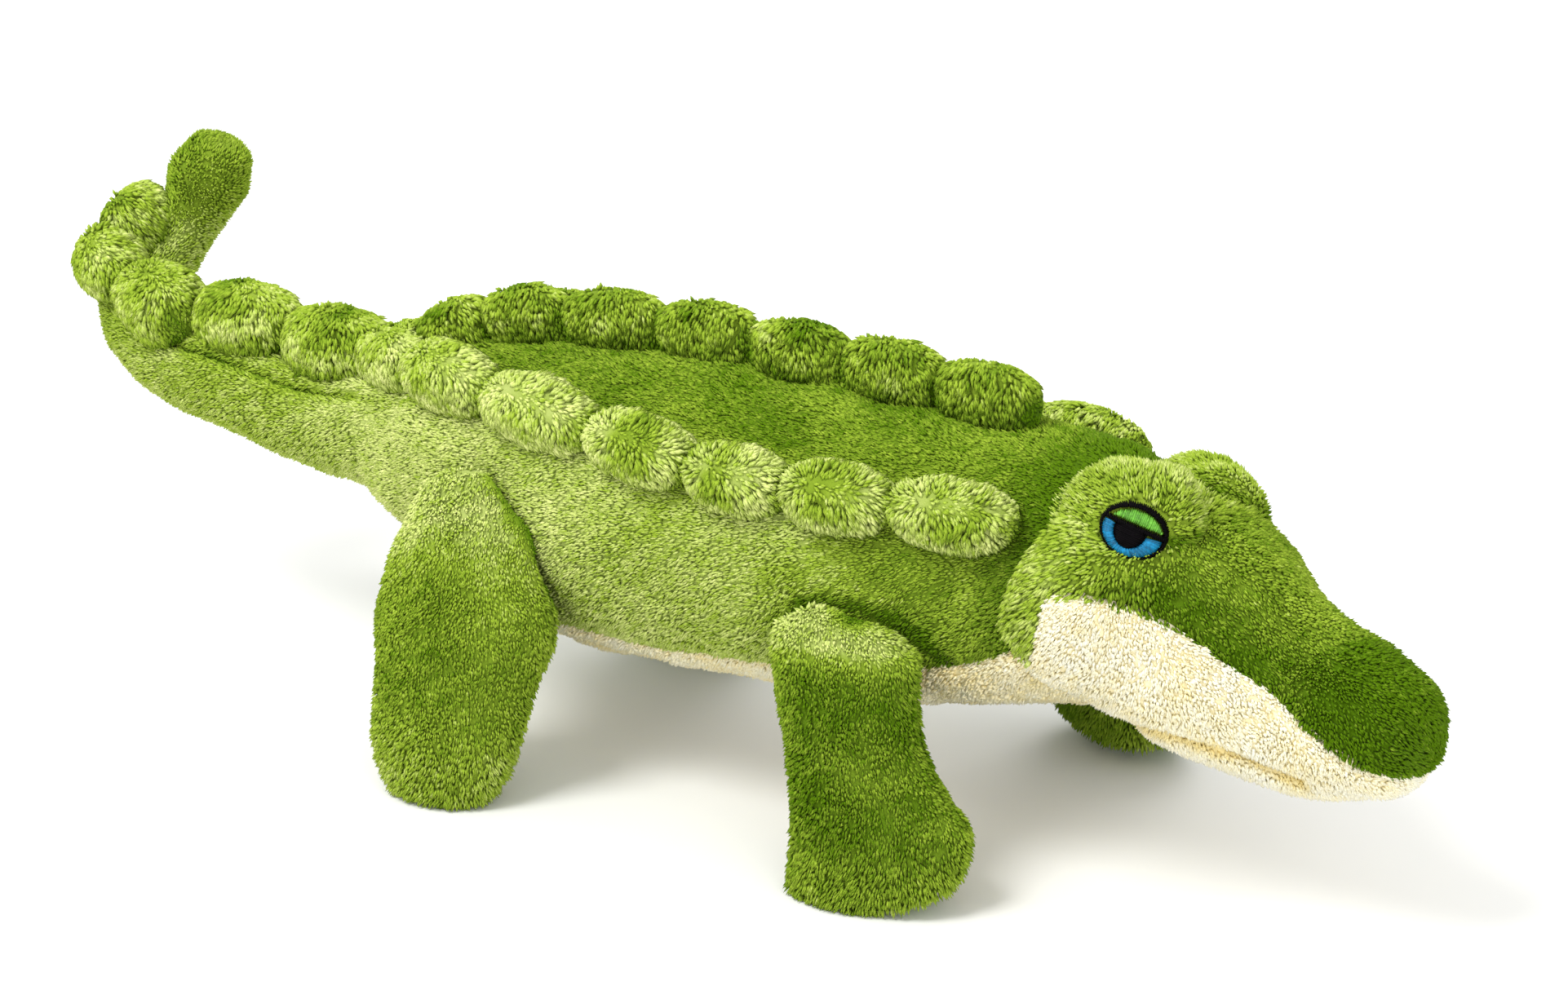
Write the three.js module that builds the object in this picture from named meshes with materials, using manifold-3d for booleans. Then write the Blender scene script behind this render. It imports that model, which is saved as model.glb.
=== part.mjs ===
// A stuffed toy crocodile in short-pile fabric, standing on four legs with its tail curled up.
// Millimetres, +X to the snout, +Y to the animal's left, +Z up, the ground at Z = 0.
import * as THREE from 'three';
import { mergeVertices } from 'three/addons/utils/BufferGeometryUtils.js';
import Module from 'manifold-3d';

const wasm = await Module();
wasm.setup();
const degrees = THREE.MathUtils.degToRad;

// Fabric and fit
const skinThickness = 2.4;
const seamGap = 0.35;
const flexGap = 0.7;
const soleFlatDepth = 0.5;
const overrun = 90;

// Trunk: its line runs from the neck's pivot back to the tail root's pivot
const trunkLength = 186;
const neckForward = 97.4;
const trunkHalfWidth = 42;
const trunkRise = 39.5;
const trunkDrop = 36.5;
const trunkAxisHeight = 62;
const neckBallRadius = 39.5;
// Rows: share of the length behind the neck, then shares of half width, rise and drop
const trunkRowShares = [
  [-0.27, 0.72, 0.80, 0.76],
  [-0.10, 0.80, 0.88, 0.84],
  [0.05, 0.86, 0.94, 0.92],
  [0.20, 0.97, 0.99, 0.98],
  [0.36, 1.00, 1.00, 1.00],
  [0.53, 0.99, 0.99, 1.00],
  [0.67, 0.92, 0.94, 0.98],
  [0.80, 0.78, 0.86, 0.88],
  [0.915, 0.60, 0.77, 0.66],
];
// Belly seam: share of the length behind the neck, share of the drop below the trunk's line
const bellySeamShares = [
  [-0.23, 0.32],
  [-0.02, 0.42],
  [0.17, 0.66],
  [0.34, 0.72],
  [0.76, 0.72],
  [1.09, 0.70],
];

// Tail: runs back, then curls up and to the left
const tailReach = 107;
const tailLift = 60;
const tailSideReach = 32;
const tailRootRadius = 20;
const tailRootBallRadius = 22;
const tailJointRow = 2.5;
const tailJointBallRadius = 15;
const tailTipShare = 0.6;
// Rows: shares of reach, sideways run and lift above the trunk's line, and of the root's radius
const tailRowShares = [
  [0.00, 0.00, 0.01, 1.00],
  [0.20, 0.00, 0.02, 0.80],
  [0.45, 0.00, 0.08, 0.74],
  [0.66, 0.08, 0.14, 0.66],
  [0.82, 0.26, 0.21, 0.56],
  [0.905, 0.46, 0.33, 0.48],
  [0.915, 0.66, 0.46, 0.41],
  [0.88, 0.84, 0.57, 0.39],
  [0.84, 0.96, 0.70, 0.44],
  [0.80, 1.04, 0.84, 0.49],
  [0.775, 1.08, 0.95, 0.38],
];

// Head, measured from the neck's pivot along its own line
const headLength = 101;
const headHalfWidth = 38;
const headRise = 37;
const headDrop = 34;
const headFall = 32;
const headTurn = degrees(-8);
const headRoll = degrees(-9);
// Rows: share of the head's length, then shares of its line's fall, half width, rise and drop
const headRowShares = [
  [-0.08, 0.00, 0.93, 0.93, 0.86],
  [0.05, 0.00, 0.98, 0.97, 0.82],
  [0.18, 0.00, 0.98, 0.92, 0.72],
  [0.31, 0.06, 0.90, 0.86, 0.68],
  [0.44, 0.18, 0.76, 0.82, 0.66],
  [0.57, 0.31, 0.61, 0.74, 0.58],
  [0.70, 0.39, 0.48, 0.56, 0.50],
  [0.84, 0.41, 0.46, 0.50, 0.48],
  [0.94, 0.43, 0.37, 0.39, 0.38],
];
// Mouth seam, up round the jaw's rear end and on to the snout: share of the head's length,
// then share of the head's fall above its root line
const jawRearPoints = 3;
const mouthSeamShares = [
  [0.27, -1.30],
  [0.23, -0.25],
  [0.22, 0.08],
  [0.25, 0.24],
  [0.32, 0.28],
  [0.41, 0.22],
  [0.50, 0.10],
  [0.60, -0.07],
  [0.70, -0.21],
  [0.78, -0.37],
  [0.87, -0.53],
  [0.95, -0.63],
  [1.10, -0.74],
];

// Eye mounds: stuffed domes sewn to the crown
const moundForward = 27;
const moundSpread = 16;
const moundHeight = 20;
const moundHalfLength = 15;
const moundHalfWidth = 14;
const moundHalfHeight = 15.5;

// Embroidered eyes
const eyeHalfLength = 7.8;
const eyeHalfHeight = 6.2;
const eyeAhead = 1.2;
const eyeRise = 1.6;
const eyeOutlineWidth = 1.2;
const pupilRadius = 3.2;
const threadHeight = 0.9;
const eyeTurn = degrees(38);
const eyeUp = degrees(4);
const eyeTilt = degrees(-14);
const lidSlope = degrees(-24);
const lidLineWidth = 1.1;
const lidEdgeShare = 0.35;

// Flexing seams: how far each body part can be bent either way by hand
const neckSwing = degrees(12);
const legSwing = degrees(16);
const tailRootSwing = degrees(20);
const tailJointSwing = degrees(25);
const widestSweepStep = degrees(16);
// How many rows past the tail's start each cutting copy of the body runs
const legCutterRows = 2;
const trunkCutterRows = 1;
const tailCutterRows = 3;

// Legs
const front = {
  word: 'front',
  behindNeck: 19,
  toeLift: 4,
  height: 64,
  spread: 57,
  halfLength: 22,
  halfThickness: 10,
  lean: 17,
  hipHeight: 52,
  toeIn: degrees(14),
  // Rows: height share, shares of the half length for centre and half length, thickness share
  rowShares: [
    [0.00, 0.10, 0.96, 0.90],
    [0.06, 0.12, 1.06, 1.00],
    [0.20, 0.10, 1.06, 1.00],
    [0.36, -0.12, 0.86, 0.96],
    [0.52, -0.26, 0.80, 0.98],
    [0.70, -0.30, 0.84, 1.10],
    [0.86, -0.26, 0.82, 1.15],
    [0.93, -0.22, 0.60, 0.90],
  ],
};
const hind = {
  word: 'hind',
  behindNeck: 132,
  toeLift: 0,
  height: 74,
  spread: 60,
  halfLength: 20,
  halfThickness: 10,
  lean: 24,
  hipHeight: 56,
  toeIn: degrees(6),
  rowShares: [
    [0.00, 0.10, 0.56, 0.70],
    [0.05, 0.08, 0.74, 0.88],
    [0.18, 0.02, 0.98, 1.00],
    [0.36, 0.00, 1.06, 1.05],
    [0.55, 0.04, 1.20, 1.15],
    [0.75, 0.06, 1.22, 1.25],
    [0.92, 0.10, 0.92, 1.10],
  ],
};

// Scute rows: tubes of longer pile, stuffed and pinched into lobes
const spineRadius = 9.2;
const tailScuteRadius = 9.8;
const spineLift = 5.5;
const flankRadius = 10;
const flankLift = 2.5;
const scuteSeatDepth = 1.5;
const rowEndShare = 0.55;
// Rows of one lobe: share of the lobes' spacing past its centre, share of its radius
const lobeRowShares = [[-0.5, 0.42], [-0.21, 0.97], [0.21, 0.97]];
// Lobes: body row of the centre, degrees up round the body from its right side, radius share
const spineLobeShares = [
  [2.3, 90, 1.0], [3.3, 90, 1.0], [4.15, 90, 1.0], [4.95, 90, 1.0], [5.97, 90, 1.0],
  [7.05, 90, 0.95], [8.3, 90, 0.9],
];
const tailLobeShares = [[10.0, 90, 0.9], [11.0, 90, 0.95]];
const tailTipLobeShares = [[12.1, 68, 1.0], [14.3, 48, 0.9], [15.6, 31, 0.85]];
const flankLobeShares = [
  [2.05, 37, 1.0], [3.1, 35, 1.0], [3.95, 33, 1.0], [4.8, 37, 1.0], [5.95, 42, 1.0],
  [7.3, 50, 1.0], [8.75, 74, 0.85],
];

// Facets
const bodySides = 16;
const headSides = 16;
const legSides = 12;
const scuteSides = 8;
const scuteFillSides = 6;
const ballSides = 20;
const moundSides = 12;
const outlineSteps = 5;

// Finishes
const greenPile = { color: 0x8aa83a, roughness: 0.95, metalness: 0 };
const darkPile = { color: 0x5f8a1c, roughness: 0.95, metalness: 0 };
const longPile = { color: 0x9ab54a, roughness: 1, metalness: 0 };
const creamPile = { color: 0xf3e8b8, roughness: 0.95, metalness: 0 };
const fibreFill = { color: 0xf4f4f0, roughness: 1, metalness: 0 };
const blackThread = { color: 0x0c0c0e, roughness: 0.6, metalness: 0 };
const blueThread = { color: 0x1e8fc4, roughness: 0.5, metalness: 0 };
const greenThread = { color: 0x6cc04a, roughness: 0.5, metalness: 0 };

const acrossY = new THREE.Vector3(0, 1, 0);
const aheadX = new THREE.Vector3(1, 0, 0);
const upZ = new THREE.Vector3(0, 0, 1);
const neckPivot = new THREE.Vector3(neckForward, 0, trunkAxisHeight);
const tailRootPivot = new THREE.Vector3(neckForward - trunkLength, 0, trunkAxisHeight);
const group = new THREE.Group();

// Solids from geometry, and back
function solid(geometry) {
  const bare = geometry.clone();
  bare.deleteAttribute('normal');
  bare.deleteAttribute('uv');
  const merged = mergeVertices(bare);
  return new wasm.Manifold(new wasm.Mesh({
    numProp: 3,
    vertProperties: new Float32Array(merged.attributes.position.array),
    triVerts: new Uint32Array(merged.index.array),
  }));
}

function geometryOf(shape) {
  const mesh = shape.getMesh();
  const geometry = new THREE.BufferGeometry();
  geometry.setAttribute('position', new THREE.BufferAttribute(new Float32Array(mesh.vertProperties), 3));
  geometry.setIndex(new THREE.BufferAttribute(new Uint32Array(mesh.triVerts), 1));
  return geometry;
}

function moved(shape, matrix) {
  const geometry = geometryOf(shape).applyMatrix4(matrix);
  if (matrix.determinant() < 0) geometry.index.array.reverse();
  return solid(geometry);
}

function add(name, shape, look) {
  const geometry = geometryOf(shape);
  geometry.computeVertexNormals();
  const mesh = new THREE.Mesh(geometry, new THREE.MeshStandardMaterial(look));
  mesh.name = name;
  group.add(mesh);
}

function ball(centre, radius) {
  const geometry = new THREE.SphereGeometry(radius, ballSides, ballSides / 2);
  geometry.rotateX(Math.PI / 2);
  geometry.translate(centre.x, centre.y, centre.z);
  return solid(geometry);
}

// All space past a plane through a point, as a large block
function spacePast(point, direction) {
  const size = 4 * overrun;
  const geometry = new THREE.BoxGeometry(size, size, size);
  geometry.translate(size / 2, 0, 0);
  geometry.applyQuaternion(new THREE.Quaternion().setFromUnitVectors(aheadX, direction));
  geometry.translate(point.x, point.y, point.z);
  return solid(geometry);
}

// A side-view outline carried right across the toy
function acrossBlock(outline) {
  const geometry = new THREE.ExtrudeGeometry(outline, { depth: 2 * overrun, bevelEnabled: false });
  geometry.rotateX(Math.PI / 2);
  geometry.translate(0, overrun, 0);
  return solid(geometry);
}

// A closed body through rings of points, each end closed at a pole
function loft(rings, firstPole, lastPole) {
  const sides = rings[0].length;
  const points = [...rings.flat(), firstPole, lastPole];
  const faces = [];
  const lastRing = (rings.length - 1) * sides;
  const pole = rings.length * sides;
  for (let k = 0; k < sides; k += 1) {
    const next = (k + 1) % sides;
    for (let start = 0; start < lastRing; start += sides) {
      faces.push(start + k, start + next, start + sides + k);
      faces.push(start + next, start + sides + next, start + sides + k);
    }
    faces.push(pole, next, k);
    faces.push(pole + 1, lastRing + k, lastRing + next);
  }
  const geometry = new THREE.BufferGeometry().setFromPoints(points);
  geometry.setIndex(faces);
  const shape = solid(geometry);
  if (shape.volume() > 0) return shape;
  geometry.setIndex(faces.reverse());
  return solid(geometry);
}

// An oval ring with a rise and a drop of its own, drawn in all round by an inset
function oval(centre, across, rise, halfWidth, riseBy, dropBy, sides, inset) {
  const ring = [];
  for (let k = 0; k < sides; k += 1) {
    const angle = (k / sides) * 2 * Math.PI;
    const wide = (halfWidth - inset) * Math.cos(angle);
    const high = ((Math.sin(angle) > 0 ? riseBy : dropBy) - inset) * Math.sin(angle);
    ring.push(centre.clone().addScaledVector(across, wide).addScaledVector(rise, high));
  }
  return ring;
}

// Body line, from the neck to the tail's tip, with its girths beside it
const bodyCentres = [];
const bodyGirths = [];
for (const [back, wide, rise, drop] of trunkRowShares) {
  bodyCentres.push(new THREE.Vector3(neckPivot.x - back * trunkLength, 0, trunkAxisHeight));
  bodyGirths.push(new THREE.Vector3(wide * trunkHalfWidth, rise * trunkRise, drop * trunkDrop));
}
for (const [back, side, lift, girth] of tailRowShares) {
  const height = trunkAxisHeight + lift * tailLift;
  bodyCentres.push(new THREE.Vector3(tailRootPivot.x - back * tailReach, side * tailSideReach, height));
  bodyGirths.push(new THREE.Vector3().setScalar(girth * tailRootRadius));
}
const bodyLine = new THREE.CatmullRomCurve3(bodyCentres);
const girthLine = new THREE.CatmullRomCurve3(bodyGirths);
const lastRow = bodyCentres.length - 1;
const tailStart = trunkRowShares.length;

// The rise at each row, carried along the line without twist
const bodyRises = [];
for (let row = 0; row <= lastRow; row += 1) {
  const along = bodyLine.getTangent(row / lastRow);
  const rise = row > 0 ? bodyRises[row - 1].clone() : upZ.clone();
  bodyRises.push(rise.addScaledVector(along, -rise.dot(along)).normalize());
}

// The section at a row number, which may lie between two rows
function bodySection(row) {
  const along = bodyLine.getTangent(row / lastRow);
  const before = Math.min(Math.floor(row), lastRow - 1);
  const rise = bodyRises[before].clone().lerp(bodyRises[before + 1], row - before);
  rise.addScaledVector(along, -rise.dot(along)).normalize();
  const girth = girthLine.getPoint(row / lastRow);
  const across = new THREE.Vector3().crossVectors(along, rise).normalize();
  const centre = bodyLine.getPoint(row / lastRow);
  return { centre, along, rise, across, halfWidth: girth.x, riseBy: girth.y, dropBy: girth.z };
}

function bodyForm(inset, endRow) {
  const rings = [];
  for (let row = 0; row <= endRow; row += 1) {
    const s = bodySection(row);
    rings.push(oval(s.centre, s.across, s.rise, s.halfWidth, s.riseBy, s.dropBy, bodySides, inset));
  }
  const first = bodySection(0);
  const last = bodySection(endRow);
  const tipRoom = last.halfWidth * tailTipShare - inset;
  return loft(
    rings,
    first.centre.clone().addScaledVector(first.along, inset),
    last.centre.clone().addScaledVector(last.along, tipRoom),
  );
}

// The flexing seams are balls about the joint pivots: one piece domed, the next cupped over it
const tailJoint = bodySection(tailStart + tailJointRow);
const tailRoot = { centre: tailRootPivot, along: aheadX.clone().negate() };
function endedAt(shape, seam, radius) {
  return shape.subtract(spacePast(seam.centre, seam.along).subtract(ball(seam.centre, radius)));
}
function begunAt(shape, seam, radius) {
  const past = shape.intersect(spacePast(seam.centre, seam.along));
  return past.subtract(ball(seam.centre, radius + flexGap));
}
const neck = { centre: neckPivot, along: aheadX };
function torsoPart(shape) {
  return endedAt(endedAt(shape, neck, neckBallRadius), tailRoot, tailRootBallRadius);
}
function tailPart(shape) {
  return endedAt(begunAt(shape, tailRoot, tailRootBallRadius), tailJoint, tailJointBallRadius);
}
function tailTipPart(shape) {
  return begunAt(shape, tailJoint, tailJointBallRadius);
}

const bodyOuter = bodyForm(0, lastRow);
const bodyCavity = bodyForm(skinThickness, lastRow);
const bodyFill = bodyForm(skinThickness + seamGap, lastRow);
const bodyShell = bodyOuter.subtract(bodyCavity);

// Torso: green back and sides, cream belly, fibre fill
function belowBellySeam(shift) {
  const outline = new THREE.Shape();
  const low = trunkAxisHeight - overrun;
  const places = bellySeamShares.map(([back, drop]) => [
    neckPivot.x - back * trunkLength,
    trunkAxisHeight - drop * trunkDrop + shift,
  ]);
  outline.moveTo(places[0][0] + overrun, low);
  outline.lineTo(places[0][0] + overrun, places[0][1]);
  for (const [x, z] of places) outline.lineTo(x, z);
  outline.lineTo(places[places.length - 1][0], low);
  return acrossBlock(outline);
}
const torsoShell = torsoPart(bodyShell);
add('torso_skin', torsoShell.subtract(belowBellySeam(seamGap / 2)), greenPile);
add('belly_panel', torsoShell.intersect(belowBellySeam(-seamGap / 2)), creamPile);
add('torso_stuffing', torsoPart(bodyFill), fibreFill);

// Tail, in two lengths
add('tail_skin', tailPart(bodyShell), greenPile);
add('tail_stuffing', tailPart(bodyFill), fibreFill);
add('tail_tip_skin', tailTipPart(bodyShell), greenPile);
add('tail_tip_stuffing', tailTipPart(bodyFill), fibreFill);

// Head
const headMatrix = new THREE.Matrix4().makeTranslation(neckPivot)
  .multiply(new THREE.Matrix4().makeRotationZ(headTurn))
  .multiply(new THREE.Matrix4().makeRotationX(headRoll));
const headAlong = aheadX.clone().transformDirection(headMatrix);

function headForm(inset) {
  const rings = headRowShares.map(([ahead, fall, wide, rise, drop]) => oval(
    new THREE.Vector3(ahead * headLength, 0, -fall * headFall),
    acrossY, upZ, wide * headHalfWidth, rise * headRise, drop * headDrop, headSides, inset,
  ));
  const [firstAhead, firstFall] = headRowShares[0];
  const lastFall = headRowShares[headRowShares.length - 1][1];
  return loft(
    rings,
    new THREE.Vector3(firstAhead * headLength + inset, 0, -firstFall * headFall),
    new THREE.Vector3(headLength - inset, 0, -lastFall * headFall),
  );
}
function belowMouthSeam(shift) {
  const outline = new THREE.Shape();
  const places = mouthSeamShares.map(([ahead, rise], k) => [
    ahead * headLength - (k <= jawRearPoints ? shift : 0),
    rise * headFall + (k >= jawRearPoints ? shift : 0),
  ]);
  outline.moveTo(places[0][0], -overrun);
  for (const [x, z] of places) outline.lineTo(x, z);
  outline.lineTo(places[places.length - 1][0], -overrun);
  return moved(acrossBlock(outline), headMatrix);
}
function aheadOfNeck(shape) {
  return begunAt(shape, { centre: neckPivot, along: headAlong }, neckBallRadius);
}
function headPart(shape) {
  return aheadOfNeck(moved(shape, headMatrix));
}
const headShape = headForm(0);
const headShell = headPart(headShape.subtract(headForm(skinThickness)));
add('crown_skin', headShell.subtract(belowMouthSeam(seamGap / 2)), greenPile);
add('jaw_panel', headShell.intersect(belowMouthSeam(-seamGap / 2)), creamPile);
add('head_stuffing', headPart(headForm(skinThickness + seamGap)), fibreFill);

// Eye mounds and eyes, drawn on the right side and mirrored
const headCutter = moved(headForm(-seamGap), headMatrix);
function moundForm(grow) {
  const geometry = new THREE.SphereGeometry(1, moundSides, moundSides / 2);
  geometry.rotateX(Math.PI / 2);
  geometry.scale(moundHalfLength + grow, moundHalfWidth + grow, moundHalfHeight + grow);
  return solid(geometry);
}
function eyePrism(outline) {
  const geometry = new THREE.ExtrudeGeometry(outline, {
    depth: overrun, bevelEnabled: false, curveSegments: outlineSteps,
  });
  geometry.translate(eyeAhead, eyeRise, 0);
  geometry.rotateX(Math.PI / 2);
  geometry.rotateX(-eyeUp);
  geometry.rotateZ(eyeTurn);
  return solid(geometry);
}
function ellipse(halfLength, halfHeight) {
  const outline = new THREE.Shape();
  outline.absellipse(0, 0, halfLength, halfHeight, 0, 2 * Math.PI, false, eyeTilt);
  return eyePrism(outline);
}
// The half plane above the drooping lid's lower edge
function aboveLid(shift) {
  const outline = new THREE.Shape();
  outline.moveTo(-overrun, shift);
  outline.lineTo(overrun, shift);
  outline.lineTo(overrun, overrun);
  outline.lineTo(-overrun, overrun);
  const points = outline.getPoints().map((p) => p.rotateAround(new THREE.Vector2(), lidSlope));
  return eyePrism(new THREE.Shape(points));
}
const eyeInner = [eyeHalfLength - eyeOutlineWidth, eyeHalfHeight - eyeOutlineWidth];
const lidEdge = pupilRadius * lidEdgeShare;
const threadLayer = moundForm(seamGap + threadHeight).subtract(moundForm(seamGap));
const lidOpening = ellipse(...eyeInner).intersect(aboveLid(lidEdge + lidLineWidth));
const irisOpening = ellipse(...eyeInner).subtract(aboveLid(lidEdge));
const pupilDisc = ellipse(pupilRadius, pupilRadius);
const eyelid = ellipse(eyeInner[0] - seamGap, eyeInner[1] - seamGap)
  .intersect(aboveLid(lidEdge + lidLineWidth + seamGap));
const belowLid = ellipse(eyeInner[0] - seamGap, eyeInner[1] - seamGap)
  .subtract(aboveLid(lidEdge - seamGap));
const eyePieces = [
  ['eye_outline', ellipse(eyeHalfLength, eyeHalfHeight).subtract(lidOpening).subtract(irisOpening),
    blackThread],
  ['iris', belowLid.subtract(ellipse(pupilRadius + seamGap, pupilRadius + seamGap)), blueThread],
  ['pupil', pupilDisc.intersect(belowLid), blackThread],
  ['eyelid', eyelid, greenThread],
];
for (const [word, side] of [['left', 1], ['right', -1]]) {
  const place = new THREE.Matrix4().makeTranslation(moundForward, side * moundSpread, moundHeight)
    .multiply(new THREE.Matrix4().makeScale(1, -side, 1));
  const onHead = new THREE.Matrix4().multiplyMatrices(headMatrix, place);
  add(`eye_mound_${word}`, aheadOfNeck(moved(moundForm(0), onHead)).subtract(headCutter), darkPile);
  for (const [piece, shape, look] of eyePieces) {
    const stitched = moved(shape.intersect(threadLayer), onHead).subtract(headCutter);
    add(`${piece}_${word}`, stitched, look);
  }
}

// The space that a shape takes as it swings both ways about a hinge
function sweep(shape, pivot, axis, swing) {
  const steps = 2 * Math.ceil(swing / widestSweepStep);
  let swept = shape;
  for (let step = 0; step <= steps; step += 1) {
    const angle = (2 * step / steps - 1) * swing;
    const turn = new THREE.Matrix4().makeTranslation(pivot)
      .multiply(new THREE.Matrix4().makeRotationAxis(axis, angle))
      .multiply(new THREE.Matrix4().makeTranslation(pivot.clone().negate()));
    swept = swept.add(moved(shape, turn));
  }
  return swept;
}

// Legs: each is cut to the torso's side as the torso stands at every angle of the leg's swing
const torsoCutter = bodyForm(-flexGap, tailStart + legCutterRows);
function legForm(leg, inset) {
  const rings = leg.rowShares.map(([share, centre, half, thick], k) => {
    const middle = new THREE.Vector3(centre * leg.halfLength, -share * leg.lean, share * leg.height);
    const thickness = thick * leg.halfThickness;
    const ring = oval(middle, aheadX, acrossY, half * leg.halfLength, thickness, thickness, legSides, inset);
    ring.forEach((point, corner) => {
      const ahead = centre + half * Math.cos((corner / legSides) * 2 * Math.PI);
      point.z += leg.toeLift * Math.max(0, ahead) ** 2 * (1 - share) ** 2 + (k === 0 ? inset : 0);
    });
    return ring;
  });
  const centreShare = leg.rowShares[0][1];
  const [topShare, topCentreShare] = leg.rowShares[leg.rowShares.length - 1];
  return loft(
    rings,
    new THREE.Vector3(centreShare * leg.halfLength, 0, inset - soleFlatDepth),
    new THREE.Vector3(topCentreShare * leg.halfLength, -topShare * leg.lean, leg.height - inset),
  );
}
const underGround = spacePast(new THREE.Vector3(), upZ.clone().negate());
for (const leg of [front, hind]) {
  const hip = new THREE.Vector3(neckPivot.x - leg.behindNeck, 0, leg.hipHeight);
  const stand = new THREE.Matrix4().makeTranslation(hip.x, leg.spread, 0)
    .multiply(new THREE.Matrix4().makeRotationZ(-leg.toeIn));
  const swept = sweep(torsoCutter, hip, acrossY, legSwing);
  const outer = legForm(leg, 0);
  const skin = moved(outer.subtract(legForm(leg, skinThickness)), stand);
  const fill = moved(legForm(leg, skinThickness + seamGap), stand);
  for (const [word, side] of [['left', 1], ['right', -1]]) {
    const mirror = new THREE.Matrix4().makeScale(1, side, 1);
    const cut = (shape) => moved(shape.subtract(swept).subtract(underGround), mirror);
    add(`${leg.word}_leg_skin_${word}`, cut(skin), darkPile);
    add(`${leg.word}_leg_stuffing_${word}`, cut(fill), fibreFill);
  }
}

// Scute rows: a string of lobes along the body, seated on its skin
const scuteCutter = bodyForm(-seamGap, lastRow);
function scuteForm(row, inset) {
  const sides = inset > 0 ? scuteFillSides : scuteSides;
  const places = row.lobes.map(([bodyRow, around]) => {
    const s = bodySection(bodyRow);
    const angle = degrees(around);
    const wide = Math.cos(angle) * (s.halfWidth + row.lift);
    const high = Math.sin(angle) * (s.riseBy + row.lift);
    const out = s.across.clone().multiplyScalar(-wide).addScaledVector(s.rise, high);
    return { centre: s.centre.clone().add(out), out: out.normalize() };
  });
  const line = new THREE.CatmullRomCurve3(places.map((place) => place.centre));
  const outward = new THREE.CatmullRomCurve3(places.map((place) => place.out));
  const last = row.lobes.length - 1;
  const spacing = line.getLength() / last;
  const rings = [];
  row.lobes.forEach(([, , share], k) => {
    for (const [shift, girthShare] of k > 0 ? lobeRowShares : lobeRowShares.slice(1)) {
      const t = (k + shift) / last;
      const inside = THREE.MathUtils.clamp(t, 0, 1);
      const along = line.getTangent(inside);
      const centre = line.getPoint(inside).addScaledVector(along, (t - inside) * last * spacing);
      const rise = outward.getPoint(inside);
      rise.addScaledVector(along, -rise.dot(along)).normalize();
      const across = new THREE.Vector3().crossVectors(along, rise);
      const girth = row.radius * share * girthShare;
      const drop = Math.max(girth, row.lift + scuteSeatDepth);
      rings.push(oval(centre, across, rise, girth, girth, drop, sides, inset));
    }
  });
  const reach = spacing * rowEndShare - inset;
  const start = line.getPoint(0).addScaledVector(line.getTangent(0), -reach);
  const end = line.getPoint(1).addScaledVector(line.getTangent(1), reach);
  const form = loft(rings, start, end);
  return row.side > 0 ? form : moved(form, new THREE.Matrix4().makeScale(1, -1, 1));
}

const spineRow = { lobes: spineLobeShares, radius: spineRadius, lift: spineLift, side: 1 };
const tailRow = { lobes: tailLobeShares, radius: tailScuteRadius, lift: spineLift, side: 1 };
const tailTipRow = { lobes: tailTipLobeShares, radius: tailScuteRadius, lift: spineLift, side: 1 };
const rightFlankRow = { lobes: flankLobeShares, radius: flankRadius, lift: flankLift, side: 1 };
const leftFlankRow = { ...rightFlankRow, side: -1 };

// What each row keeps clear of: the parts that move past it, and its neighbours
const turningHead = sweep(
  begunAt(moved(headForm(-flexGap), headMatrix), { centre: neckPivot, along: headAlong },
    neckBallRadius - 2 * flexGap),
  neckPivot, upZ, neckSwing,
);
const turningTailRow = sweep(scuteForm(tailRow, -flexGap), tailRootPivot, upZ, tailRootSwing);
const turningTrunk = sweep(
  bodyForm(-flexGap, tailStart + trunkCutterRows),
  tailRootPivot, upZ, tailRootSwing,
);
const turningTail = sweep(
  bodyForm(-flexGap, tailStart + tailCutterRows).add(scuteForm(tailRow, -flexGap)),
  tailJoint.centre, upZ, tailJointSwing,
);
const spineRoom = scuteForm(spineRow, -seamGap);
const leftHalf = spacePast(new THREE.Vector3(0, -seamGap / 2, 0), acrossY);
const rightHalf = spacePast(new THREE.Vector3(0, seamGap / 2, 0), acrossY.clone().negate());
function addScuteRow(name, row, neighbours) {
  const seated = (form) => neighbours.reduce((left, cutter) => left.subtract(cutter), form)
    .subtract(scuteCutter);
  add(name, seated(scuteForm(row, 0).subtract(scuteForm(row, skinThickness))), longPile);
  add(`${name}_stuffing`, seated(scuteForm(row, skinThickness + seamGap)), fibreFill);
}
addScuteRow('spine_ridge', spineRow, [turningHead, turningTailRow]);
addScuteRow('tail_ridge', tailRow, [turningTrunk]);
addScuteRow('tail_tip_ridge', tailTipRow, [turningTail]);
addScuteRow('flank_ridge_right', rightFlankRow, [turningHead, turningTailRow, spineRoom, leftHalf]);
addScuteRow('flank_ridge_left', leftFlankRow, [turningHead, turningTailRow, spineRoom, rightHalf]);

export default group;
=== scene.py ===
import bpy
import numpy as np
from mathutils import Matrix, Vector


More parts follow.
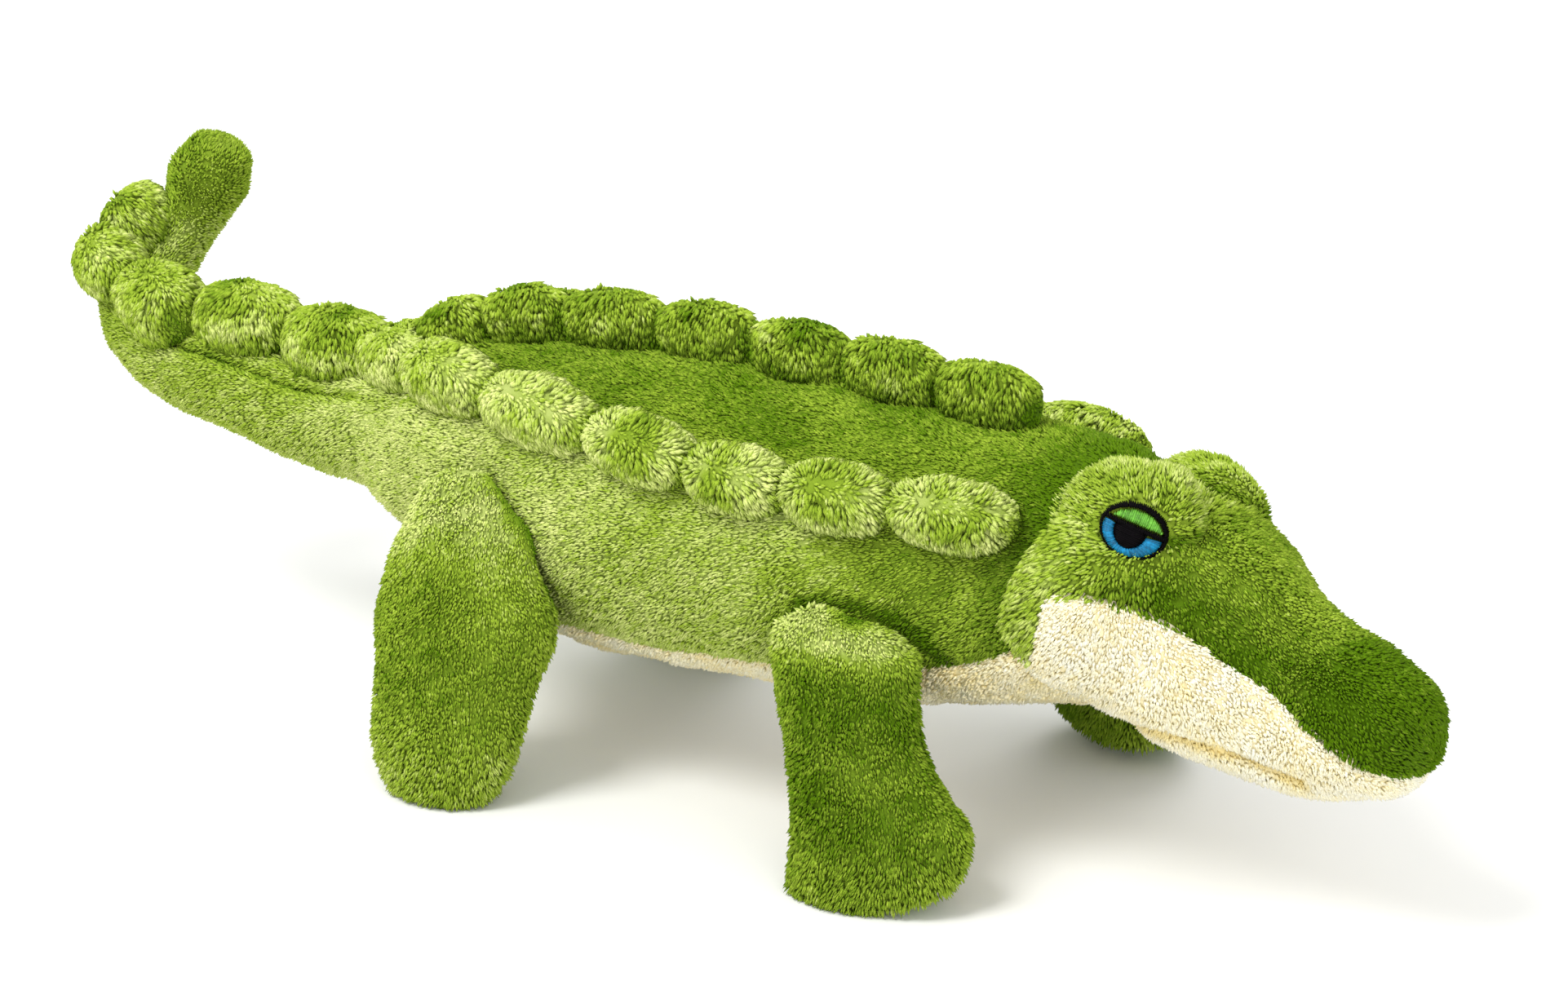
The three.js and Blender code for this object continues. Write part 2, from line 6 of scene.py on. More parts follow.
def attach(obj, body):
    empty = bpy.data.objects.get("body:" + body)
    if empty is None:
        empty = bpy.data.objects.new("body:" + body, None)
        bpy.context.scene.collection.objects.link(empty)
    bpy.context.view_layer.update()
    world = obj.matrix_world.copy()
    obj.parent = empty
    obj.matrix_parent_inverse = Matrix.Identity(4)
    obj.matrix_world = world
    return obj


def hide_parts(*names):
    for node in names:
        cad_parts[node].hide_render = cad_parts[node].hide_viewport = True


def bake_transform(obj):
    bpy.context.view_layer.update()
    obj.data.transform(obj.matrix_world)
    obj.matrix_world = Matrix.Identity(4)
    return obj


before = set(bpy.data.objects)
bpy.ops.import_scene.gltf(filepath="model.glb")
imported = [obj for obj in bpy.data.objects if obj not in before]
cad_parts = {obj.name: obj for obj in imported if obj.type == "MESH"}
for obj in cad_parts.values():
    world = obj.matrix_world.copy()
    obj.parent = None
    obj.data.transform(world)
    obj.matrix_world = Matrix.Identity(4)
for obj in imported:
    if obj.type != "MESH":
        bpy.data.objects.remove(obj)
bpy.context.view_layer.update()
scene = bpy.context.scene

# The place: soft studio lamps and an even sky, and a camera 32 degrees round from the toy's
# right side, looking slightly down.
aim = Vector((0.024, 0.0, 0.0665))
camera_turn, camera_rise, camera_distance = np.radians(32), np.radians(19.5), 1.0
sensor_width, focal_length, sky_strength = 36, 97.4, 0.95


def placed(name, data):
    """A new object in the scene for a mesh, a lamp or a camera."""
    made = bpy.data.objects.new(name, data)
    scene.collection.objects.link(made)
    return made


back_to_camera = Vector((
    np.sin(camera_turn) * np.cos(camera_rise),
    -np.cos(camera_turn) * np.cos(camera_rise),
    np.sin(camera_rise),
))
lens = bpy.data.cameras.new("camera")
lens.sensor_width, lens.lens = sensor_width, focal_length
camera = placed("camera", lens)
camera.location = aim + camera_distance * back_to_camera
camera.rotation_euler = back_to_camera.to_track_quat("Z", "Y").to_euler()
scene.camera = camera
scene.view_settings.view_transform = "Standard"


def lamp(name, place, size, power):
    """A round soft lamp that faces the toy."""
    light = bpy.data.lights.new(name, "AREA")
    light.shape, light.size, light.energy = "DISK", size, power
    holder = placed(name, light)
    holder.location = place
    holder.rotation_euler = (Vector(place) - aim).to_track_quat("Z", "Y").to_euler()


lamp("key_lamp", (-0.35, -0.75, 1.25), 0.7, 16)
lamp("fill_lamp", (1.2, -0.9, 0.6), 1.0, 7.2)
lamp("far_lamp", (-0.2, 1.2, 0.9), 1.0, 6)
world = bpy.data.worlds.new("soft_room")
world.use_nodes = True
sky = world.node_tree.nodes["Background"]
sky.inputs["Color"].default_value = (1, 1, 1, 1)
sky.inputs["Strength"].default_value = sky_strength
scene.world = world


# Trunk: one bag of green short pile with a cream belly sewn on below, stuffed with fibre. It is
# domed at the neck, where the head's edge turns over it, and its cloth runs on into the tail.
def unit(vectors):
    return vectors / np.maximum(np.linalg.norm(vectors, axis=-1, keepdims=True), 1e-12)


def spline(points, at):
    """A smooth line through points, read at places counted in points from 0."""
    points = np.asarray(points, float)
    first, last = 2 * points[0] - points[1], 2 * points[-1] - points[-2]
    held = np.vstack([first, points, last])
    start = np.clip(np.floor(at).astype(int), 0, len(points) - 2)
    share = (np.asarray(at) - start)[..., None]
    a, b, c, d = (held[start + k] for k in range(4))
    before, here, after = (
        np.sqrt(np.linalg.norm(q - p, axis=-1, keepdims=True)) for p, q in ((a, b), (b, c), (c, d))
    )
    leave = ((b - a) / before - (c - a) / (before + here) + (c - b) / here) * here
    enter = ((c - b) / here - (d - b) / (here + after) + (d - c) / after) * here
    cubic = 2 * b - 2 * c + leave + enter
    square = 3 * c - 3 * b - 2 * leave - enter
    return b + leave * share + square * share**2 + cubic * share**3


def smooth_line(points, count):
    """A smooth line through points, as a run of many."""
    return spline(points, np.linspace(0, len(points) - 1, count))


def heading(points, at, first=-np.inf, last=np.inf):
    """Which way a smooth line runs at places on it, with no look past its first and last."""
    step = 1e-3
    ahead, behind = np.minimum(at + step, last), np.maximum(at - step, first)
    return unit(spline(points, ahead) - spline(points, behind))


def rounded(row, last):
    """A row held to the last one, and how far ahead and how drawn in a round end past it is."""
    past = np.clip(row - last, 0, 1) * np.pi / 2
    return np.minimum(row, last), np.sin(past), np.cos(past)


# The neck's joint, the trunk's length behind it and its greatest half width, rise and drop
neck = np.array((0.0974, 0.0, 0.062))
trunk_length, trunk_half_width, trunk_rise, trunk_drop = 0.186, 0.042, 0.0395, 0.0365
tail_root = neck - (trunk_length, 0, 0)
# The ball that the head turns on, how far inside it the trunk's cloth stays, the gap between
# skins that move, and how deep the cloth lies under the middle of its pile
neck_ball, neck_tuck, flex_gap, pile_depth = 0.0395, 0.0042, 0.0007, 0.0010
# Rows: share of the length behind the neck, then shares of half width, rise and drop
trunk_shares = np.array([
    (-0.27, 0.72, 0.80, 0.52), (-0.10, 0.80, 0.87, 0.64), (0.05, 0.86, 0.90, 0.82),
    (0.20, 0.97, 0.94, 0.95), (0.36, 1.00, 0.96, 1.00), (0.53, 0.99, 0.97, 1.03),
    (0.67, 0.92, 0.94, 1.05), (0.80, 0.78, 0.86, 0.89), (0.915, 0.60, 0.77, 0.55),
])
tail_reach, tail_rise, tail_sideways, tail_radius, tail_end_share = 0.107, 0.060, 0.032, 0.020, 0.6
# Rows: shares of reach, sideways run, lift above the trunk's line and girth
tail_shares = np.array([
    (0.00, 0.00, 0.07, 0.87), (0.20, 0.00, 0.065, 0.74), (0.45, 0.00, 0.13, 0.67),
    (0.66, 0.08, 0.165, 0.63), (0.82, 0.26, 0.23, 0.56), (0.895, 0.48, 0.33, 0.52),
    (0.875, 0.70, 0.45, 0.44), (0.85, 0.87, 0.57, 0.40), (0.825, 0.97, 0.69, 0.45),
    (0.80, 1.04, 0.81, 0.53), (0.775, 1.08, 0.91, 0.44),
])
# Bodies whose cloth bends out of the body before: that body, and the rows of the bend's two ends
bending = {"tail": ("torso", 8.4, 9.5), "tail_tip": ("tail", 11.1, 12.0)}
body_centres = np.vstack([
    neck - trunk_shares[:, :1] * (trunk_length, 0, 0),
    tail_root + tail_shares[:, :3] * (-tail_reach, tail_sideways, tail_rise),
])
body_girths = np.vstack([
    trunk_shares[:, 1:] * (trunk_half_width, trunk_rise, trunk_drop),
    np.repeat(tail_shares[:, 3:], 3, axis=1) * tail_radius,
])
tail_start, last_row = len(trunk_shares), len(body_centres) - 1
body_rises = [np.array((0.0, 0.0, 1.0))]
for row_along in heading(body_centres, np.arange(1.0, last_row + 1)):
    carried = body_rises[-1] - row_along * (body_rises[-1] @ row_along)
    body_rises.append(carried / np.linalg.norm(carried))
body_rises = np.array(body_rises)


def body_section(row):
    """Centre, directions along, up and across, and the three girths at a row number."""
    before = np.clip(np.floor(row).astype(int), 0, last_row - 1)
    share = (row - before)[..., None]
    along = heading(body_centres, row)
    up = body_rises[before] * (1 - share) + body_rises[before + 1] * share
    up = unit(up - along * np.sum(up * along, axis=-1, keepdims=True))
    return spline(body_centres, row), along, up, np.cross(along, up), spline(body_girths, row)


def body_form(row, angle):
    """Points of the body's cloth, at row numbers and angles up from its left side."""
    row, angle = np.broadcast_arrays(np.asarray(row, float), angle)
    row, ahead, drawn_in = rounded(row, last_row)
    centre, along, up, across, girth = body_section(row)
    wide = (girth[..., 0] - pile_depth) * np.cos(angle) * drawn_in
    tall = np.where(np.sin(angle) > 0, girth[..., 1], girth[..., 2]) - pile_depth
    tall = tall * np.sin(angle) * drawn_in
    push = ahead * (tail_end_share * girth[..., 0] - pile_depth)
    return centre + along * push[..., None] + across * wide[..., None] + up * tall[..., None]


def turns_of(sides):
    """The angles of a ring's sides, once round."""
    return np.arange(sides) / sides * 2 * np.pi


def ramp(value, start, end):
    """0 up to a start, rising evenly to 1 at an end, which may lie on either side of it."""
    return np.clip((value - start) / (end - start), 0, 1)


def fading(off, reach):
    """1 on a line or a spot, fading over a reach beside it."""
    return np.exp(-((off / reach) ** 2))


def domed(points, pivot, towards, radius):
    """Draws in what lies past a pivot to a ball about it."""
    arm = points - pivot
    reach = np.linalg.norm(arm, axis=-1, keepdims=True)
    past = (arm @ np.asarray(towards, float) > 0)[..., None]
    return np.where(past & (reach > radius), pivot + arm / np.maximum(reach, 1e-9) * radius, points)


def waves(points, length, seed):
    """A smooth random field over points, about -1 to 1, whose swells are about a length apart."""
    count, crest = 18, 4.2
    drawn = np.random.default_rng(seed)
    ways = unit(drawn.normal(size=(count, 3))) * (2 * np.pi / length)
    ways = ways * drawn.uniform(0.6, 1.5, (count, 1))
    return np.sin(points @ ways.T + drawn.uniform(0, 2 * np.pi, count)).sum(axis=-1) / crest


def mottled(points, seed, *swells):
    """Brushed patches and tufts: each kind is a strength and a length."""
    return sum(strength * waves(points, length, seed + k)
               for k, (strength, length) in enumerate(swells))


def normals_of(net):
    """Outward normals and lengthwise directions of rings of points."""
    along = np.gradient(net, axis=0)
    wrapped = np.concatenate([net[:, -1:], net, net[:, :1]], axis=1)
    around = np.gradient(wrapped, axis=1)[:, 1:-1]
    out = unit(np.cross(around, along))
    middle = net.mean(axis=1, keepdims=True)
    return out * np.sign(np.sum(out * (net - middle), axis=-1).mean()), unit(along)


def beside(field):
    """The same field one side further round each ring."""
    return np.roll(field, -1, axis=1)


def ends_of(net):
    """The middles of the first ring and of the last."""
    return [net[0].mean(axis=0), net[-1].mean(axis=0)]


def linked(name, vertices, faces, sizes, fields, material, spread):
    """A mesh object from plain arrays: the corners of all faces in a row, how many each face has,
    fields of one value a point, and each corner's place on the piece's flat map."""
    mesh = bpy.data.meshes.new(name)
    mesh.vertices.add(len(vertices))
    mesh.vertices.foreach_set("co", np.asarray(vertices, np.float32).ravel())
    mesh.loops.add(len(faces))
    mesh.loops.foreach_set("vertex_index", np.asarray(faces, np.int32))
    mesh.polygons.add(len(sizes))
    starts = np.concatenate([[0], np.cumsum(sizes)[:-1]])
    mesh.polygons.foreach_set("loop_start", starts.astype(np.int32))
    mesh.polygons.foreach_set("use_smooth", np.ones(len(sizes), bool))
    mesh.update(calc_edges=True)
    for field, values in fields.items():
        layer = mesh.attributes.new(field, "FLOAT", "POINT")
        layer.data.foreach_set("value", np.asarray(values, np.float32))
    flat_map = mesh.uv_layers.new(name="OFBake")
    flat_map.uv.foreach_set("vector", np.asarray(spread, np.float32).ravel())
    mesh.materials.append(material)
    return placed(name, mesh)


def quads_of(net, out):
    """Corner numbers of the squares of rings of points, wound to face outward."""
    rings, sides = net.shape[:2]
    corner = np.arange(rings * sides).reshape(rings, sides)
    quads = np.stack([corner[:-1], beside(corner)[:-1], beside(corner)[1:], corner[1:]], axis=-1)
    facing = np.cross((beside(net) - net)[:-1], net[1:] - net[:-1])
    return quads if np.sum(facing * out[:-1]) > 0 else quads[..., ::-1]


# Halves of the flat map, what is kept free at their edges, and where the fans at a bag's ends lie
lower_half, upper_half, map_edge = 0.0, 0.5, 0.01
fan_map = ((0.5, 0.5), (0.46, 0.54), (0.54, 0.54))


def map_of(quads, rings, sides, half):
    """Flat map places of squares of a net, in the lower or the upper half of the map."""
    ring, side = np.divmod(quads, sides)
    side = np.where((side == 0) & (side.max(axis=-1, keepdims=True) == sides - 1), sides, side)
    wide, tall = 1 - 2 * map_edge, upper_half - 2 * map_edge
    return np.stack([side / sides * wide, ring / rings * tall + half], axis=-1) + map_edge


def celled(spread, count):
    """Flat map places of one small piece, laid out for many in square cells."""
    cells = int(np.ceil(np.sqrt(count)))
    cell = np.stack(np.divmod(np.arange(count), cells), axis=-1)[:, None, :]
    return (cell + spread) / cells


# Bare cloth takes the colour and painted root shade of the pile at this share of its height
backing_tip = 0.25


def bag(name, net, ends, tone, material):
    """A closed bag from rings of points, drawn together at a point at each end."""
    rings, sides = net.shape[:2]
    out, _ = normals_of(net)
    quads = quads_of(net, out).reshape(-1, 4)
    pole, corner = rings * sides, np.arange(sides)
    rim = corner + (rings - 1) * sides
    fans = np.stack([
        np.stack([np.full(sides, pole), np.roll(corner, -1), corner], axis=-1),
        np.stack([np.full(sides, pole + 1), rim, np.roll(rim, -1)], axis=-1),
    ])
    if quads[0, 1] != 1:
        fans = fans[..., ::-1]
    faces = np.concatenate([quads.ravel(), fans.ravel()])
    sizes = np.concatenate([np.full(len(quads), 4), np.full(2 * sides, 3)])
    points = np.vstack([net.reshape(-1, 3), ends])
    tones = np.concatenate([tone.ravel(), [tone[0].mean(), tone[-1].mean()]])
    spread = np.concatenate([map_of(quads, rings, sides, lower_half).reshape(-1, 2),
                             np.tile(fan_map, (2 * sides, 1))])
    fields = {"tone": tones, "tip": np.full(len(points), backing_tip)}
    return linked(name, points, faces, sizes, fields, material, spread)


def panel(name, net, chosen, tone, material, thickness):
    """A closed sheet of cloth over the chosen squares of rings of points."""
    rings, sides = net.shape[:2]
    out, _ = normals_of(net)
    front = quads_of(net, out)[chosen]
    back = front[:, ::-1]
    count = rings * sides
    edges = np.stack([front, np.roll(front, -1, axis=1)], axis=-1).reshape(-1, 2)
    keys = edges[:, 0] * count + edges[:, 1]
    rim = edges[~np.isin(keys, edges[:, 1] * count + edges[:, 0])]
    walls = np.stack([rim[:, 1], rim[:, 0], rim[:, 0] + count, rim[:, 1] + count], axis=-1)
    faces = np.concatenate([front, back + count, walls])
    points = np.concatenate([net.reshape(-1, 3), (net - out * thickness).reshape(-1, 3)])
    used, renamed = np.unique(faces, return_inverse=True)
    wall_map = map_of(walls % count, rings, sides, lower_half)
    wall_map[:, 2:] += (0.001, 0.0)
    spread = np.concatenate([map_of(front, rings, sides, lower_half),
                             map_of(back, rings, sides, upper_half), wall_map])
    fields = {"tone": np.tile(tone.ravel(), 2)[used], "tip": np.full(len(used), backing_tip)}
    return linked(name, points[used], renamed.ravel(), np.full(len(faces), 4), fields, material,
                  spread.reshape(-1, 2))


def roots_on(net, spacing, seed, share_of):
    """Evenly strewn places on rings of points, with normals, lengthwise directions and a way to
    read any field of the net there."""
    drawn = np.random.default_rng(seed)
    out, along = normals_of(net)
    area = np.linalg.norm(np.cross(net[1:] - net[:-1], (beside(net) - net)[:-1]), axis=-1)
    area = area * share_of[:-1]
    count = int(area.sum() / spacing**2)
    quad = drawn.choice(area.size, count, p=(area / area.sum()).ravel())
    ring, side = np.divmod(quad, area.shape[1])
    down, over = drawn.random((2, count, 1))

    def read(field):
        here = field.reshape(*field.shape[:2], -1)
        there = beside(here)
        near = here[ring, side] * (1 - down) + here[ring + 1, side] * down
        far = there[ring, side] * (1 - down) + there[ring + 1, side] * down
        return (near * (1 - over) + far * over).reshape(count, *field.shape[2:])

    return {"place": read(net), "out": unit(read(out)), "along": unit(read(along)), "read": read}


def pile(name, roots, lean, length, width, tone, seed, material, bend, tousle):
    """Locks of pile as slim closed spindles. Each leans along its own direction, brushed a little
    astray in swirls and clumps, bends if asked, and keeps a tone and its height above the
    backing, from which its finish paints shade towards the roots."""
    swirl_length, swirl_strength, clump_widths, lock_stray = 0.014, 0.15, 5, 0.07
    least_rise, sunk_share, waist_share, waist_tip, floor_gap = 0.3, 0.35, 0.5, 0.6, 0.0002
    length_spread, width_spread, roll_stray = (0.75, 1.2), (0.8, 1.25), 0.05
    clump_shade, lock_shade = 0.06, 0.09
    drawn = np.random.default_rng(seed)
    place, out, count = roots["place"], roots["out"], len(roots["place"])
    swirl = np.stack([waves(place, swirl_length, 901 + k) for k in range(3)], axis=-1)
    clump = np.stack([waves(place, width * clump_widths, 911 + k) for k in range(3)], axis=-1)
    astray = swirl_strength * swirl + tousle * clump
    lean = unit(unit(lean) + astray + drawn.normal(scale=lock_stray, size=(count, 3)))
    lean += out * np.maximum(least_rise - np.sum(lean * out, axis=-1, keepdims=True), 0)
    lean = unit(lean)
    length = (np.broadcast_to(length, count) * drawn.uniform(*length_spread, count))[:, None]
    width = (np.broadcast_to(width, count) * drawn.uniform(*width_spread, count))[:, None]
    across = unit(np.cross(lean, out + drawn.normal(scale=roll_stray, size=(count, 3))))
    over = np.cross(across, lean)
    root = place - out * width * sunk_share
    waist = root + lean * length * waist_share + out * length * bend
    ring = [waist + (across * np.cos(turn) + over * np.sin(turn)) * width * 0.5
            for turn in np.radians((90, 210, 330))]
    vertices = np.stack([root, *ring, root + lean * length], axis=1)
    vertices[..., 2] = np.maximum(vertices[..., 2], floor_gap)
    # Each lock has a cell of the flat map, a third of it for each of its three sides
    pattern, spread = [], []
    for k in range(3):
        here, after = 1 + k, 1 + (k + 1) % 3
        left, middle, right = k * 0.33 + 0.01, k * 0.33 + 0.165, k * 0.33 + 0.32
        pattern += [after, 0, here, here, 4, after]
        spread += [(right, 0.48), (middle, 0.02), (left, 0.48),
                   (left, 0.52), (middle, 0.98), (right, 0.52)]
    faces = (np.array(pattern) + 5 * np.arange(count)[:, None]).ravel()
    shade = tone + clump_shade * clump[..., 0] + drawn.normal(scale=lock_shade, size=count)
    heights = (0.0, waist_tip, waist_tip, waist_tip, 1.0)
    fields = {"tone": np.repeat(np.clip(shade, 0, 1), 5), "tip": np.tile(heights, count)}
    return linked(name, vertices.reshape(-1, 3), faces, np.full(6 * count, 3), fields, material,
                  celled(np.array(spread), count))


class Socket:
    """An output of a shader node, on which arithmetic adds Math nodes."""

    def __init__(self, finish, output):
        self.finish, self.output = finish, output

    def maths(self, operation, *terms):
        return self.finish.node("ShaderNodeMath", {"operation": operation}, dict(enumerate(terms)))

    def __add__(self, other):
        return self.maths("ADD", self, other)

    def __sub__(self, other):
        return self.maths("SUBTRACT", self, other)

    def __rsub__(self, other):
        return self.maths("SUBTRACT", other, self)

    def __mul__(self, other):
        return self.maths("MULTIPLY", self, other)

    __radd__, __rmul__ = __add__, __mul__


class Finish:
    """A material with one Principled shader, built node by node."""

    def __init__(self, name, **even):
        self.material = bpy.data.materials.new(name)
        self.material.use_nodes = True
        self.tree = self.material.node_tree
        self.shader = self.tree.nodes["Principled BSDF"]
        for socket, value in even.items():
            self.shader.inputs[socket.replace("_", " ")].default_value = value

    def node(self, kind, settings=(), sockets=(), output=0):
        made = self.tree.nodes.new(kind)
        for name, value in dict(settings).items():
            if name == "stops":
                stops = made.color_ramp.elements
                for k, (place, colour) in enumerate(value):
                    stop = stops[k] if k < 2 else stops.new(place)
                    stop.position, stop.color = place, colour
            else:
                setattr(made, name, value)
        for name, value in dict(sockets).items():
            if isinstance(value, Socket):
                self.tree.links.new(value.output, made.inputs[name])
            else:
                made.inputs[name].default_value = value
        return Socket(self, made.outputs[output])

    def attribute(self, name):
        return self.node("ShaderNodeAttribute", {"attribute_name": name}, output="Fac")

    def noise(self, **sockets):
        """Fine noise that stays with the piece when it moves."""
        where = self.node("ShaderNodeTexCoord", output="Object")
        return self.node("ShaderNodeTexNoise", sockets={"Vector": where, **sockets})

    def ramped(self, value, *stops):
        """A colour read from stops: the two ends, then the middle."""
        return self.node("ShaderNodeValToRGB", {"stops": stops}, {"Fac": value})

    def bumped(self, height, strength, distance):
        self.drives("Normal", self.node("ShaderNodeBump", sockets={
            "Strength": strength, "Distance": distance, "Height": height}))

    def drives(self, socket, value):
        self.tree.links.new(value.output, self.shader.inputs[socket])


def dye(code):
    """A linear colour from a web code, as cloth swatches are noted."""
    parts = [int(code[k:k + 2], 16) / 255 for k in (1, 3, 5)]
    return tuple(((p + 0.055) / 1.055) ** 2.4 if p > 0.04 else p / 12.92 for p in parts) + (1.0,)


def pile_finish(name, *dyes):
    """Plush: its tone runs from dark to light with the nap, with painted shade towards the roots.
    """
    shadow, dark, middle, light = (dye(code) for code in dyes)
    finish = Finish(name, Roughness=0.9, Specular_IOR_Level=0.06, Sheen_Weight=0.06,
                    Sheen_Roughness=0.45, Sheen_Tint=light)
    fleck_strength, shadow_strength = 0.20, 0.60
    tone, tip = finish.attribute("tone"), finish.attribute("tip")
    flecks = finish.noise(Scale=2600.0, Detail=2.0, Roughness=0.6)
    colour = finish.ramped(tone + (flecks - 0.5) * fleck_strength,
                           (0.0, dark), (1.0, light), (0.5, middle))
    # Painted shade towards the roots, where the strands shade one another
    depth = finish.node("ShaderNodeMapRange", sockets={
        "Value": tip, "From Min": 0.05, "From Max": 0.75, "To Min": shadow_strength, "To Max": 0.0})
    mix_factor, mix_first, mix_second, mix_result = 0, 6, 7, 2
    finish.drives("Base Color", finish.node(
        "ShaderNodeMix", {"data_type": "RGBA"},
        {mix_factor: depth, mix_first: colour, mix_second: shadow}, output=mix_result))
    finish.bumped(flecks, strength=0.5, distance=0.0004)
    return finish.material


green_pile = pile_finish("green_pile", "#2e4604", "#567a06", "#a2bc3a", "#e8f09a")
cream_pile = pile_finish("cream_pile", "#f8e8ae", "#fceaa8", "#fff8d8", "#fffdee")


def sewn(piece, body):
    """Attaches a piece to the body that it moves with. On a bending body it is left loose, with
    its place baked into its mesh.
    """
    if body in bending:
        before, start, end = bending[body]
        tuple(spline(body_centres, np.array(start)))
        tuple(spline(body_centres, np.array(end)))
        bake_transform(piece)
    else:
        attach(piece, body)


def coat(name, net, share_of, nap, tone, body, slot, seed, spacing=0.00060, length=0.0020,
         width=0.00072, bend=0.0, tousle=0.1):
    """The pile that stands on one part of a skin. Its length may be a field over the skin. Its
    tone is worked out from places and from a way to read fields of the skin there."""
    roots = roots_on(net, spacing, seed, share_of)
    if np.ndim(length):
        length = roots["read"](length)
    cloth = cream_pile if slot == "cream_pile" else green_pile
    made = pile(name, roots, nap(roots), length, width, tone(roots["place"], roots["read"]), seed,
                cloth, bend, tousle)
    sewn(made, body)


def as_is(field):
    """Reads a field of a skin at its own points."""
    return field


def side_view(points):
    return points[..., [0, 2]]


def from_seam(places, line, below=-1.0):
    """How far side-view places lie above a seam line, less than 0 below it, and the way to it."""
    flat = places.reshape(-1, 2)
    starts, runs = line[:-1], np.diff(line, axis=0)
    share = np.einsum("pk,sk->ps", flat, runs) - np.sum(starts * runs, axis=1)
    share = np.clip(share / np.sum(runs**2, axis=1), 0, 1)
    way = starts + runs * share[..., None] - flat[:, None, :]
    near = np.linalg.norm(way, axis=-1).argmin(axis=1)
    way = way[np.arange(len(flat)), near]
    outline = np.vstack([line, (line[-1, 0], below), (line[0, 0], below)])
    inside = np.zeros(len(flat), bool)
    for (ax, az), (bx, bz) in zip(outline, np.roll(outline, -1, axis=0)):
        spans = (az > flat[:, 1]) != (bz > flat[:, 1])
        inside ^= spans & (flat[:, 0] < ax + (flat[:, 1] - az) / ((bz - az) or 1e-12) * (bx - ax))
    off = np.linalg.norm(way, axis=-1) * np.where(inside, -1, 1)
    return off.reshape(places.shape[:-1]), way.reshape(places.shape)


# How near a point is snapped on to a seam, and how wide and deep the seam draws the cloth in
seam_snap, seam_reach, seam_depth = 0.0006, 0.0016, 0.0010
# How thick a sewn-on panel is, and how far the skin under it is drawn in
panel_cloth, panel_room = 0.0012, 0.0014


def grooved(net, out, off, reach, depth):
    """A skin drawn in along a line that its points lie off."""
    return net - out * (fading(off, reach) * depth)[..., None]


def tucked(net, out, off):
    """A skin drawn in below a seam, under the panel that is sewn on there."""
    return net - out * (panel_room * (off < 0))[..., None]


def squares_below(off):
    """Which squares of a net lie below a seam."""
    pairs = off + beside(off)
    return pairs[:-1] + pairs[1:] < 0


trunk_rings, trunk_sides, lump_height = 190, 200, 0.0006
trunk_rows = np.linspace(0, bending["tail"][1], trunk_rings)[:, None]
trunk_angles = turns_of(trunk_sides)
trunk_net = body_form(trunk_rows, trunk_angles)
trunk_out, _ = normals_of(trunk_net)
trunk_net += trunk_out * waves(trunk_net, 0.035, 3)[..., None] * lump_height
trunk_net = domed(trunk_net, neck, (1, 0, 0), neck_ball - neck_tuck)
# Belly seam: share of the length behind the neck, share of the drop below the trunk's line
belly_shares = np.array([
    (-0.40, 0.90), (-0.17, 0.55), (-0.085, 0.085), (0.006, 0.245), (0.083, 0.385), (0.305, 0.58),
    (0.47, 0.67), (0.76, 0.71), (1.20, 0.70),
])
belly_line = smooth_line(side_view(neck) - belly_shares * (trunk_length, trunk_drop), 70)
off_belly, to_belly = from_seam(side_view(trunk_net), belly_line)
trunk_net[..., [0, 2]] += to_belly * (np.abs(off_belly) < seam_snap)[..., None]
trunk_out, _ = normals_of(trunk_net)
trunk_net = grooved(trunk_net, trunk_out, off_belly, seam_reach, seam_depth)
# Painted shade in the crease over the top of each front leg: places ahead of the neck and
# above it, in side view
shoulder_shade_line = side_view(neck) + np.array([
    (-0.0464, -0.0060), (-0.0430, -0.0014), (-0.0364, 0.0002), (-0.0279, -0.0001),
    (-0.0204, -0.0024), (-0.0144, -0.0061), (-0.0108, -0.0105), (-0.0092, -0.0150),
])
shoulder_shade_reach = 0.0022


def trunk_tone(points, read=as_is):
    """Dark on the back between the flank rows, light on the sides. Painted shade darkens the front
    of the sides behind the head, the collar, and the crease over each front leg. A tone is 0
    where the pile is darkest and 1 where it is lightest."""
    around = np.degrees(np.arctan2(points[..., 2] - neck[2], np.abs(points[..., 1])))
    back = ramp(around, 40, 50)
    ahead = (points[..., 0] - tail_root[0]) / trunk_length
    # The sides darken towards the front: painted shade behind the head
    side = 0.80 - 0.13 * ramp(ahead, 0.1, 0.4) - 0.34 * ramp(ahead, 0.68, 0.92)
    tone = side * (1 - back) + back * (0.17 + 0.04 * ramp(ahead, 0.7, 0.9))
    # Painted shade at the collar, under the head's rolled edge
    tone -= 0.35 * ramp(points[..., 0] - neck[0], -0.004, 0.010)
    # Painted shade in the crease over each front leg
    tone -= 0.5 * fading(from_seam(side_view(points), shoulder_shade_line)[0], shoulder_shade_reach)
    return tone + mottled(points, 5, (0.06, 0.03), (0.04, 0.009))


# The belly is toned darker and yellower than the jaw: painted shade under the trunk
def belly_tone(points, read=as_is):
    return 0.35 + mottled(points, 7, (0.1, 0.02), (0.06, 0.006))


def swept_back(roots):
    return 0.7 * roots["along"] - 0.3 * np.array((0, 0, 1)) + 0.7 * roots["out"]


